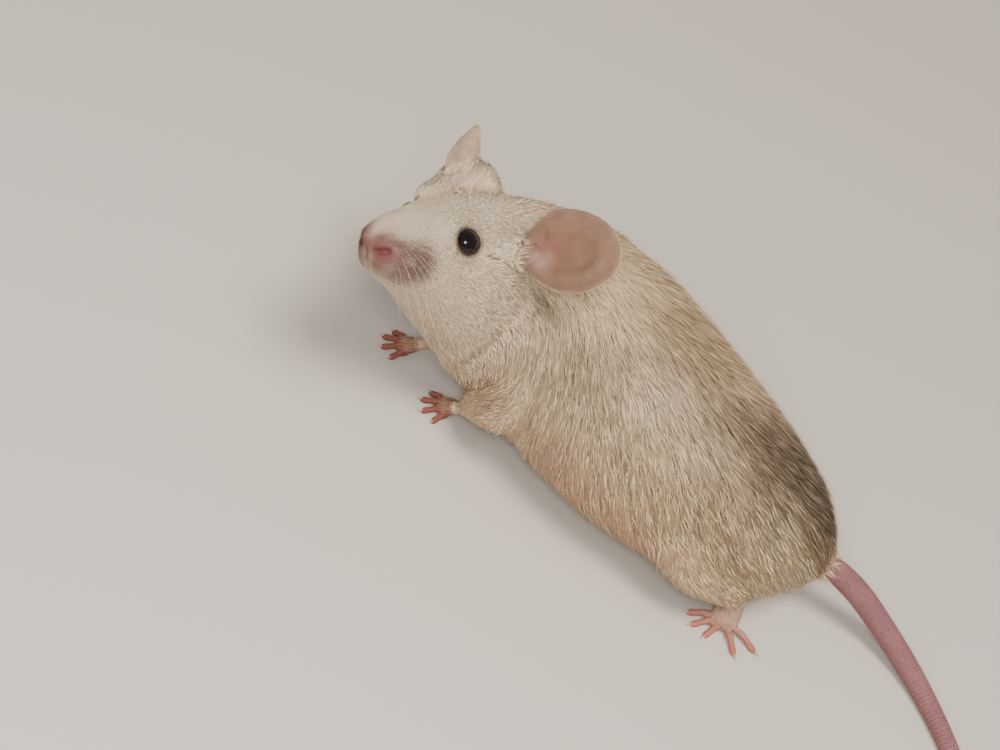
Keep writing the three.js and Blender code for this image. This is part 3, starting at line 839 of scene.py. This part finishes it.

# where the left ear opens in front, thin-haired pinkish skin with painted shade along its fold, and painted
# shade under its lobe
by_notch = beside(smooth_line([head_point(19.4, 8.8, 5.2), head_point(20.4, 9.8, 4.0)], 6), co, no)
bald = np.exp(-((by_notch / 1.5) ** 2)) * ~on["ear_left"]
paint = blend_to(paint, EAR_PALE * (1.45, 1.25, 1.3), 0.85 * bald)
fuzz_share = fuzz_share * (1 - 0.9 * bald)
stain = np.maximum(stain, 0.7 * bald)
# painted shade: a dark line along the fold where the ear opens
notch = [head_point(19.0, 8.4, 5.4), head_point(19.6, 8.8, 5.1), head_point(20.3, 9.2, 4.9)]
from_notch = beside(smooth_line(notch, 10), co, no)
paint = blend_to(paint, LID_DARK * 2, 0.95 * np.exp(-((from_notch / 0.36) ** 2)))
under = smooth_line([head_point(20.5, 10.6, 0.9), head_point(21.6, 11.7, 0.0), head_point(23, 12.8, 0)], 12)
shade = 0.85 * np.exp(-((beside(under, co, no) / 1.2) ** 2)) * ~on["ear_left"]
paint = blend_to(paint, SLATE * 0.5, shade)
stain = np.maximum(stain, shade)

# feet: pale and furred to the ball, redder toes, and the fore feet painted darker and redder as shade under
# the body
toe_share = np.zeros(len(co))
for leg, foot in FOOT_SHAPES.items():
    here = on[f"{leg}_foot"]
    from_heel = np.linalg.norm((co[here] / MM - foot["heel"])[:, :2], axis=1)
    toe_share[here] = ease(from_heel, foot["sole"] - 1.0, foot["sole"] + 0.6)
fore_foot = on["fore_left_foot"] | on["fore_right_foot"]
by_floor = np.clip(1 - co[:, 2] / (1.1 * MM), 0, 1)
# redder towards the toes and the floor, and on the fore feet as painted shade
ruddy_and_shade = 0.75 * toe_share + 0.5 * by_floor + 0.4 * fore_foot + 0.1 * ripple(co, 1.6, 41)
feet_look = FOOT_PINK + (FOOT_RED - FOOT_PINK) * np.clip(ruddy_and_shade, 0, 1)[:, None]
# the fore feet darker still, as painted shade under the body
feet_look = feet_look * (0.94 - 0.38 * fore_foot)[:, None]
stain = np.where(on_foot_skin > 0.5, 0.45 + 0.35 * toe_share, stain)
paint = np.where(on_foot_skin[:, None] > 0.5, feet_look, paint)

# tail: rosy, in fine rings of scales
TAIL_RING = 0.62
rings = 0.5 + 0.5 * np.cos(tail_run * 2 * math.pi / TAIL_RING)
stain = np.where(on_tail_skin > 0.5, 0.8, stain)
tail_look = TAIL_PINK * (1 + 0.05 * ripple(co, 5, 43))[:, None] * (1.06 - 0.12 * rings)[:, None]
paint = np.where(on_tail_skin[:, None] > 0.5, tail_look, paint)
paint = relax(paint, 1)
on_ears = np.any([on[name] for name in EARS], axis=0)
bare = relax(np.maximum(np.maximum(on_foot_skin, on_tail_skin), on_ears), 2)


def give(mesh, name, kind, values):
    """Puts a value or a colour on each of the mesh's points."""
    layer = mesh.attributes.new(name, kind, "POINT")
    if kind == "FLOAT_COLOR":
        values = np.column_stack([np.clip(values, 0, 1), np.ones(len(values))])
    layer.data.foreach_set("color" if kind == "FLOAT_COLOR" else "value", values.astype(np.float32).ravel())


give(skin.data, "paint", "FLOAT_COLOR", paint)
give(skin.data, "tail_run", "FLOAT", tail_run * (on_tail_skin > 0.5))
give(skin.data, "ringed", "FLOAT", on_tail_skin)


def carried(tree, name):
    """A node that reads a value or colour carried by the surface."""
    node = tree.nodes.new("ShaderNodeAttribute")
    node.attribute_name = name
    return node


def painted(tree, shader):
    """Colours a material with the surface's own paint."""
    tree.links.new(carried(tree, "paint").outputs["Color"], shader.inputs["Base Color"])


def reckoned(tree, operation, *terms):
    """The output of a maths node fed with sockets or plain numbers."""
    node = tree.nodes.new("ShaderNodeMath")
    node.operation = operation
    for socket, term in zip(node.inputs, terms):
        if isinstance(term, float):
            socket.default_value = term
        else:
            tree.links.new(term, socket)
    return node.outputs[0]


def bumped(tree, height, strength, depth):
    """A bump node raised by a height, its depth in millimetres."""
    node = tree.nodes.new("ShaderNodeBump")
    node.inputs["Strength"].default_value = strength
    node.inputs["Distance"].default_value = depth * MM
    tree.links.new(height, node.inputs["Height"])
    return node


skin_look, skin_tree, skin_shader = material(
    "hide", (0.6, 0.45, 0.37), 0.62, Subsurface_Weight=0.12, Subsurface_Scale=0.0008,
    Subsurface_Radius=(1.0, 0.35, 0.2), Specular_IOR_Level=0.14,
)
painted(skin_tree, skin_shader)
# fine creases all over, and the scaly rings of the tail
position = skin_tree.nodes.new("ShaderNodeTexCoord")
grain = skin_tree.nodes.new("ShaderNodeTexNoise")
grain.inputs["Scale"].default_value = 3600
grain.inputs["Detail"].default_value = 3
skin_tree.links.new(position.outputs["Object"], grain.inputs["Vector"])
creased = bumped(skin_tree, grain.outputs["Fac"], 0.35, 0.05)
along_tail = carried(skin_tree, "tail_run").outputs["Fac"]
ring_turn = reckoned(skin_tree, "MULTIPLY", along_tail, 2 * math.pi / TAIL_RING)
ring_wave = reckoned(skin_tree, "SINE", ring_turn)
ring_height = reckoned(skin_tree, "MULTIPLY", ring_wave, carried(skin_tree, "ringed").outputs["Fac"])
ringed = bumped(skin_tree, ring_height, 0.6, 0.05)
skin_tree.links.new(creased.outputs["Normal"], ringed.inputs["Normal"])
skin_tree.links.new(ringed.outputs["Normal"], skin_shader.inputs["Normal"])
skin.data.materials.append(skin_look)
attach(skin, "root")
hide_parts(*FLESH)

# ---- Eyes ------------------------------------------------------------------------------------
# Glossy dark beads with no white showing, wet all over. Each fills its socket and is held all round
# by the lids.
EYE_GAP = 0.04


def finished(bm, name, look):
    """Makes a mesh object of a bmesh, riding the body."""
    bmesh.ops.recalc_face_normals(bm, faces=bm.faces)
    for each in bm.faces:
        each.smooth = True
    mesh = bpy.data.meshes.new(name)
    bm.to_mesh(mesh)
    bm.free()
    mesh.materials.append(look)
    piece = bpy.data.objects.new(name, mesh)
    bpy.context.scene.collection.objects.link(piece)
    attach(piece, "root")
    return piece


eye_look, _, _ = material("wet_eye", (0.005, 0.003, 0.003), 0.08, Specular_IOR_Level=0.35)
for name, (centre, _, _) in eye_seats.items():
    eye_bm = bmesh.new()
    bmesh.ops.create_uvsphere(eye_bm, u_segments=48, v_segments=32, radius=(EYE_RADIUS + EYE_GAP) * MM)
    bmesh.ops.translate(eye_bm, verts=eye_bm.verts, vec=Vector(centre))
    eye = finished(eye_bm, f"eyeball_{name[4:]}", eye_look)
    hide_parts(name)

# ---- Claws and whiskers ----------------------------------------------------------------------
# Small curved claws of clear horn, set in the toe ends; long tapering whiskers of stiff clear hair,
# rooted in rows on the pads beside the nose and swept out and back, with a few over the eyes.
claw_look, _, _ = material("horn", (0.50, 0.31, 0.25), 0.35)
claw_bm = bmesh.new()
CLAW_RADII = [(0, 0.17), (0.4, 0.14), (0.8, 0.08), (1, 0.03)]
for seat in claw_seats:
    made = add_limb(claw_bm, seat, CLAW_RADII, 10, 12)
    for v in made:
        v.co.z = max(v.co.z, 0.03 * MM)
finished(claw_bm, "claws", claw_look)

whisker_look, _, _ = material("whisker_hair", (0.60, 0.51, 0.44), 0.4)
whisker_bm = bmesh.new()
rng = np.random.default_rng(17)
WHISKER_REACH = 61.0
WHISKER_RADII = [(0, 0.02), (0.5, 0.015), (1, 0.005)]
BROW_RADII = [(0, 0.018), (0.5, 0.013), (1, 0.005)]
for side, row, step, at, way in whisker_seats:
    length = (7.0 + 1.8 * step + rng.uniform(-1, 1)) * MM
    out = unit(way * 0.5 + head_way(-0.15 + 0.12 * step, side * 0.8, -0.2 - 0.2 * row))
    if out[1] < 0:
        # none reaches far past the nose
        length = min(length, (at[1] + WHISKER_REACH * MM) / -out[1])
    sag = np.array((0, 0, -0.1)) * length + HEAD_AXES[0] * length * 0.12
    bow = [
        at - way * 0.3 * MM, at + out * length * 0.35,
        at + out * length * 0.7 + sag * 0.35, at + out * length + sag,
    ]
    add_limb(whisker_bm, bow, WHISKER_RADII, 5, 14)
for centre, axis, fore in eye_seats.values():
    for lean in (-0.35, 0.25):
        start = centre + axis * 0.5 * MM + unit(HEAD_AXES[2] + fore * lean) * 2.3 * MM
        out = unit(axis * 0.8 + HEAD_AXES[2] * 0.7 - fore * (0.5 + lean))
        bow = [start, start + out * 3 * MM, start + out * 6.5 * MM - fore * 0.8 * MM]
        add_limb(whisker_bm, bow, BROW_RADII, 5, 12)
finished(whisker_bm, "whiskers", whisker_look)

# ---- Coat ------------------------------------------------------------------------------------
# Short soft fur: fine pointed tufts that grow back from the nose, lie along the body and overlap,
# longest on the flanks and hardly there on the muzzle, ears, feet and tail. Each tuft is a flat
# lance: a root in the hide, a low ridge at its widest place, and a tip.
skin_co, skin_no = arrays(skin.data)
skin.data.calc_loop_triangles()
triangles = np.empty(len(skin.data.loop_triangles) * 3, np.int32)
skin.data.loop_triangles.foreach_get("vertices", triangles)
triangles = triangles.reshape(-1, 3)
area = np.linalg.norm(np.cross(
    skin_co[triangles[:, 1]] - skin_co[triangles[:, 0]],
    skin_co[triangles[:, 2]] - skin_co[triangles[:, 0]],
), axis=1) / 2 / MM**2
hide_points = KDTree(len(skin_co))
for i, p in enumerate(skin_co.tolist()):
    hide_points.insert(p, i)
hide_points.balance()


def on_skin(places):
    """Each place dropped onto the skin, with the skin's normal there."""
    index = np.array([hide_points.find(p)[1] for p in places.tolist()])
    normal = skin_no[index]
    gap = ((places - skin_co[index]) * normal).sum(1)
    return places - normal * gap[:, None], normal


head = on_head_axes(skin_co)
head_back = np.where(on["head"], head[:, 0], 99)
# lie of the hair: back from the nose and down the flanks, towards the feet on the legs
at_spine, spine_way, spine_off = along_line(SPINE, skin_co)
run = at_spine * SPINE_STEP - 2
downhill = np.cross(spine_way, unit(spine_off))
downhill *= -np.sign(downhill[:, 2:3])
flank = np.abs(unit(spine_off) @ (1, 0, 0))
SWEEP = [(0, 0.1), (14, 0.25), (26, 0.6), (34, 0.95), (50, 0.95), (66, 0.75), (84, 0.5)]
lie = spine_way + downhill * (np.interp(run, *zip(*SWEEP)) * flank)[:, None]
for leg, foot in FOOT_SHAPES.items():
    turn = math.radians(foot["heading"])
    on_leg = on[f"{leg}_leg"]
    lie[on_leg] = unit(np.array(foot["heel"]) * MM - skin_co[on_leg]) + 0.3 * lie[on_leg]
    lie[on[f"{leg}_foot"]] = (math.sin(turn), -math.cos(turn), 0)
for name, shape in EAR_SHAPES.items():
    lie[on[name]] = ear_axes(shape)[1]
tail_skin = on_tail_skin > 0.5
lie[tail_skin] = tail_way[tail_skin]
for centre, axis, fore in eye_seats.values():
    # the hair parts before the eye and closes behind it
    q = (skin_co - centre) / MM
    from_eye = q - (q @ axis)[:, None] * axis
    rho = np.linalg.norm(from_eye, axis=1)
    strength = 0.5 * (2.1 / np.maximum(rho, 1.6)) ** 3 * (np.linalg.norm(q, axis=1) < 6)
    outward = from_eye / np.maximum(rho, 1e-6)[:, None]
    lie = lie + strength[:, None] * (lie - 3 * (lie * outward).sum(1)[:, None] * outward)
by_fold = np.linalg.norm(skin_co[:, None] - EAR_FOLD[None], axis=2).min(1) / MM
lie = lie + (head_way(0.35, -0.3, 0.85) - lie) * ease(-by_fold, -4.2, -2.6)[:, None]
on_trunk = np.any([on[part] for part in TRUNK], axis=0)
# the lie is evened out over the trunk, and less so on the face and limbs
LIE_ROUNDS, LIE_KEPT = 220, 0.93
lie = unit(relax(unit(lie), LIE_ROUNDS, np.where(on_trunk & (head_back > 13), 0.0, LIE_KEPT)))
lie = unit(lie - skin_no * (lie * skin_no).sum(1)[:, None])

# for each place: tufts in a square millimetre, and their length, width and depth in millimetres
head = on_head_axes(skin_co)
BODY_COAT = {
    "neck": (36, 4.0, 0.105, 1.1), "chest": (25, 4.8, 0.12, 1.3),
    "belly": (21.4, 5.1, 0.125, 1.3), "rump": (31, 4.7, 0.112, 1.2),
}
HEAD_BACK = [0, 3, 8, 14, 22, 27]
HEAD_COAT = [
    [56, 62, 62, 52, 40, 34],
    [0.7, 0.95, 1.3, 1.9, 2.8, 3.4],
    [0.045, 0.05, 0.06, 0.078, 0.1, 0.11],
    [0.1, 0.18, 0.28, 0.42, 0.7, 1.0],
]
LEG_HEIGHTS = [2, 5, 9]
FOOT_DOWN = (1.0, 0.045, 0.12)
LEG_COAT = [[44, 40, 26], [0.8, 1.4, 2.8], [0.055, 0.08, 0.135], [0.12, 0.3, 0.9]]
growth = np.zeros((len(skin_co), 4))
chosen = on["head"]
growth[chosen] = np.column_stack([np.interp(head[chosen, 0], HEAD_BACK, values) for values in HEAD_COAT])
for name, values in BODY_COAT.items():
    growth[on[name]] = values
for leg in LEGS:
    chosen = on[f"{leg}_leg"]
    high = skin_co[chosen, 2] / MM
    growth[chosen] = np.column_stack([np.interp(high, LEG_HEIGHTS, values) for values in LEG_COAT])
    chosen = on[f"{leg}_foot"]
    upper = ease(skin_no[chosen, 2], -0.1, 0.5) * ease(skin_co[chosen, 2] / MM, 0.9, 1.6)
    thick = np.where(leg.startswith("hind"), 48, 26) * (1 - 0.93 * toe_share[chosen])
    down = np.broadcast_to(FOOT_DOWN, (chosen.sum(), 3))
    growth[chosen] = np.column_stack([thick * upper, down])
for name, (at, share, u, out) in ear_of_skin.items():
    edge = np.hypot(u, 2 * share - 1)
    front = 1 + 8 * ease(edge, 0.85, 1.0)
    if name == "ear_right":
        front = front + 30 * (1 - ease(share, 0.5, 0.9))
    back = 48 + 24 * (1 - ease(share, 0.45, 0.95))
    tall = np.where(out > 0, 0.7, 1.2 + 0.8 * (1 - ease(share, 0.1, 0.9)))
    many = np.where(out > 0, front, back)
    growth[at] = np.column_stack([many, tall, np.full(len(at), 0.04), 0.1 + 0.12 * (out < 0)])
growth[tail_skin] = (0, 0.8, 0.035, 0.16)
growth[tail_skin, 0] = 8 * ease(skin_co[tail_skin, 2] / MM, 0.25, 0.6)
sparse = relax(growth, 3)
on_bare = bare > 0.5
growth = np.where(on_bare[:, None], sparse, relax(growth, 12))
growth[:, 0] *= fuzz_share

# a lance has a root, two edges with a ridge between them, and a tip
LANCE = np.array([(0, 2, 1), (0, 3, 2), (0, 1, 3), (4, 1, 2), (4, 2, 3), (4, 3, 1)])
PATCH = 0.003
LANCE_PATCH = np.array([(0, -0.5), (-0.5, -0.1), (0, -0.1), (0.5, -0.1), (0, 0.5)]) * PATCH
# colour along each lance, root to tip: darker at the root, partly painted shade deep in the coat
LANCE_SHADES = (0.87, 0.97, 0.99, 0.97, 1.03)
GUARD_DARK = np.array((0.085, 0.065, 0.05))
# how far hair turns out of its lie, beside the body's
YAW_SHARE = {"coat_face": 0.55, "coat_crown": 0.75}
# of all tufts: those that lie on top, those with a tip that stands clear, and the pale ones
TOP_SHARE, STRAY_SHARE, PALE_SHARE = 0.4, 0.14, 0.15
# a thin dark streak runs back from the corner of the left eye to the ear
EYE_STREAK = smooth_line([
    head_point(13.4, 7.0, 2.8), head_point(15.9, 8.1, 2.9), head_point(18.8, 9.3, 3.1),
], 20)
STREAK_WIDTH = 0.17

coat_look, coat_tree, coat_shader = material("fur", (0.62, 0.55, 0.44), 0.9, Specular_IOR_Level=0.1)
painted(coat_tree, coat_shader)


def joined_tufts(name, verts, shades, places):
    """One coat piece: a joined mesh of lances, with their colours and their patches on the map."""
    count = len(verts)
    tris = (LANCE[None] + np.arange(count)[:, None, None] * 5).reshape(-1)
    mesh = bpy.data.meshes.new(name)
    mesh.vertices.add(count * 5)
    mesh.vertices.foreach_set("co", verts.astype(np.float32).ravel())
    mesh.loops.add(len(tris))
    mesh.loops.foreach_set("vertex_index", tris.astype(np.int32))
    mesh.polygons.add(len(tris) // 3)
    mesh.polygons.foreach_set("loop_start", np.arange(0, len(tris), 3, dtype=np.int32))
    mesh.update(calc_edges=True)
    mesh.polygons.foreach_set("use_smooth", np.ones(len(tris) // 3, bool))
    give(mesh, "paint", "FLOAT_COLOR", shades.reshape(-1, 3))
    patches = (places[:, None] + LANCE_PATCH[None]).reshape(-1, 2)
    mesh.uv_layers.new(name="OFBake").data.foreach_set("uv", patches[tris].astype(np.float32).ravel())
    mesh.materials.append(coat_look)
    piece = bpy.data.objects.new(name, mesh)
    bpy.context.scene.collection.objects.link(piece)
    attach(piece, "root")


def clear_of_eyes(tip, middle):
    """Which tufts keep off the opening of both eyes."""
    keep = np.ones(len(tip), bool)
    for centre, axis, _ in eye_seats.values():
        for place in (tip, middle):
            q = (place - centre) / MM
            rho = np.linalg.norm(q - (q @ axis)[:, None] * axis, axis=1)
            keep &= ~((rho < OPENING + 0.12) & (np.linalg.norm(q, axis=1) < 3))
    return keep


def grow(name, here, unwrap):
    """Grows the tufts rooted on the chosen points of the skin, as one piece."""
    chosen = here[triangles[:, 0]]
    weight = np.where(chosen, area * growth[triangles, 0].mean(1), 0)
    total = np.cumsum(weight)
    count = int(total[-1])
    aims = (np.arange(count) + rng.random(count)) * total[-1] / count
    pick = np.minimum(np.searchsorted(total, aims), len(area) - 1)
    a, b = rng.random((2, count))
    flip = a + b > 1
    a, b = np.where(flip, 1 - a, a), np.where(flip, 1 - b, b)
    tri = triangles[pick]
    mix = np.column_stack([1 - a - b, a, b])[:, :, None]
    root, normal, way = ((field[tri] * mix).sum(1) for field in (skin_co, unit(skin_no), lie))
    _, tall, wide, high = (growth[tri] * mix).sum(1).T
    normal = unit(normal)
    way = unit(way - normal * (way * normal).sum(1)[:, None])
    yaw = rng.normal(0, 0.12, count) + 0.12 * ripple(root, 2.6, 21) + 0.08 * ripple(root, 7, 22)
    yaw *= YAW_SHARE.get(name, 1.0)
    way = unit(way + np.cross(normal, way) * yaw[:, None])
    tall = tall * rng.uniform(0.72, 1.2, count)
    wide = wide * rng.uniform(0.75, 1.3, count)
    colour, dark = coat_colour(root)
    hide, share = (paint[tri] * mix).sum(1), (stain[tri] * mix[:, :, 0]).sum(1)
    colour = colour + (hide * 1.12 - colour) * share[:, None]
    from_streak = beside(EYE_STREAK, root, normal) if name in ("coat_face", "coat_crown") else FAR
    dark_tuft = rng.random(count) < 0.5 * dark + 0.045 * (run[tri[:, 0]] > 26)
    lash = (from_streak < STREAK_WIDTH) & (rng.random(count) < 0.8)
    pale_tuft = rng.random(count) < PALE_SHARE * (1 - share)
    upper = np.clip((unit(root - SPINE[at_spine[tri[:, 0]]])[:, 2] + 0.4) * 1.2, 0, 1)
    guard = (rng.random(count) < (0.01 + 0.024 * upper) + 0.05 * dark) & (run[tri[:, 0]] > 24) & (tall > 2)
    wide = np.where(guard, wide * 0.45, wide)
    tall = np.where(guard, tall * 1.2, tall)
    # long tufts on top, and shorter and lower ones between them
    top = rng.random(count) < TOP_SHARE
    rise = high * np.where(top, rng.uniform(0.85, 1.0, count), rng.uniform(0.45, 0.85, count))
    tall = np.where(top, tall, tall * 0.75)
    rise = np.where(guard, high * 1.08, rise)
    # a few tips stand clear of the rest
    rise = rise * np.where(rng.random(count) < STRAY_SHARE, rng.uniform(1.1, 1.6, count), 1)
    tip, tip_normal = on_skin(root + way * (tall * MM)[:, None])
    middle = root + (tip - root) * 0.38 + normal * ((0.66 * rise + 0.02) * MM)[:, None]
    tip = tip + tip_normal * ((rise + 0.02) * MM)[:, None]
    keep = clear_of_eyes(tip, middle)
    root = root - normal * (0.06 * MM)
    ahead = unit(tip - root)
    across = unit(np.cross(normal, ahead)) * (wide / 2 * MM)[:, None]
    ridge = middle + normal * (wide * 0.1 * MM)[:, None]
    verts = np.stack([root, middle + across, ridge, middle - across, tip], axis=1)[keep]
    verts[:, :, 2] = np.maximum(verts[:, :, 2], 0.02 * MM)
    # ticked hair: dark and pale tufts among the rest, each darker towards its root, partly as the hair's
    # own colour and partly as painted shade deep in the coat
    tone = rng.uniform(0.9, 1.1, count)[:, None]
    body = colour * tone
    body = np.where(dark_tuft[:, None], body * (0.5, 0.49, 0.48), body)
    body = np.where((pale_tuft & ~dark_tuft)[:, None], body * 0.72 + WHITE * 0.29, body)
    body = np.where(lash[:, None], body * (0.3, 0.26, 0.24), body)
    body = np.where(guard[:, None], GUARD_DARK * tone, body)
    shades = np.stack([body * shade for shade in LANCE_SHADES], axis=1)[keep]
    joined_tufts(name, verts, shades, unwrap(root, tri[:, 0])[keep])


def spread(values, low=0.0, high=1.0):
    """Values run onto the given part of the map, clear of its edges."""
    share = (values - values.min()) / max(np.ptp(values), 1e-9)
    return low + (0.02 + 0.96 * share) * (high - low)


def round_trunk(root, index):
    """The trunk unrolled: along the spine, and round it from the belly."""
    place, tangent, offset = along_line(SPINE, root)
    upward = unit(np.array((0, 0, 1)) - tangent * tangent[:, 2:3])
    turn = np.arctan2((offset * np.cross(upward, tangent)).sum(1), -(offset * upward).sum(1))
    return np.column_stack([spread(place), spread(turn)])


def round_limbs(root, index):
    """Legs, ears, feet and tail unrolled, each on its own part of the map."""
    out = np.zeros((len(root), 2))
    parts = [f"{leg}_{part}" for part in ("leg", "foot") for leg in LEGS] + EARS
    for k, part in enumerate(parts):
        chosen = on[part][index]
        if not chosen.any():
            continue
        u0, v0 = (k % 4) / 4, (k // 4) / 4
        here = root[chosen]
        if part in EARS:
            share, u, away_from = ear_place(EAR_SHAPES[part], here)
            side = np.where(away_from > 0, 0.0, 0.125)
            u = np.clip(u / 2.4 + 0.5, 0, 1)
            out[chosen] = np.column_stack([u0 + side + 0.005 + 0.115 * u, spread(share, v0, v0 + 0.25)])
        elif part.endswith("leg"):
            middle = here.mean(0)
            turn = np.arctan2(here[:, 1] - middle[1], here[:, 0] - middle[0])
            out[chosen] = np.column_stack([spread(turn, u0, u0 + 0.25), spread(here[:, 2], v0, v0 + 0.25)])
        else:
            along, up = spread(here[:, 0], u0, u0 + 0.25), spread(here[:, 1], v0, v0 + 0.25)
            out[chosen] = np.column_stack([along, up])
    chosen = tail_skin[index]
    if chosen.any():
        at, way, off = along_line(TAIL_LINE, root[chosen])
        turn = np.arctan2(off[:, 2], (off * np.cross(way, (0, 0, 1))).sum(1))
        out[chosen] = np.column_stack([spread(at), spread(turn, 0.75, 1.0)])
    return out


FACE_BACK = 15
grow("coat_face", on["head"] & (head[:, 0] < FACE_BACK), round_trunk)
grow("coat_crown", on["head"] & (head[:, 0] >= FACE_BACK), round_trunk)
for trunk_part in TRUNK[1:]:
    grow(f"coat_{trunk_part}", on[trunk_part], round_trunk)
on_legs = np.any([on[f"{leg}_leg"] for leg in LEGS], axis=0)
grow("coat_legs", on_legs, round_limbs)
grow("coat_fuzz", ~on_legs & ~np.any([on[part] for part in TRUNK], axis=0), round_limbs)
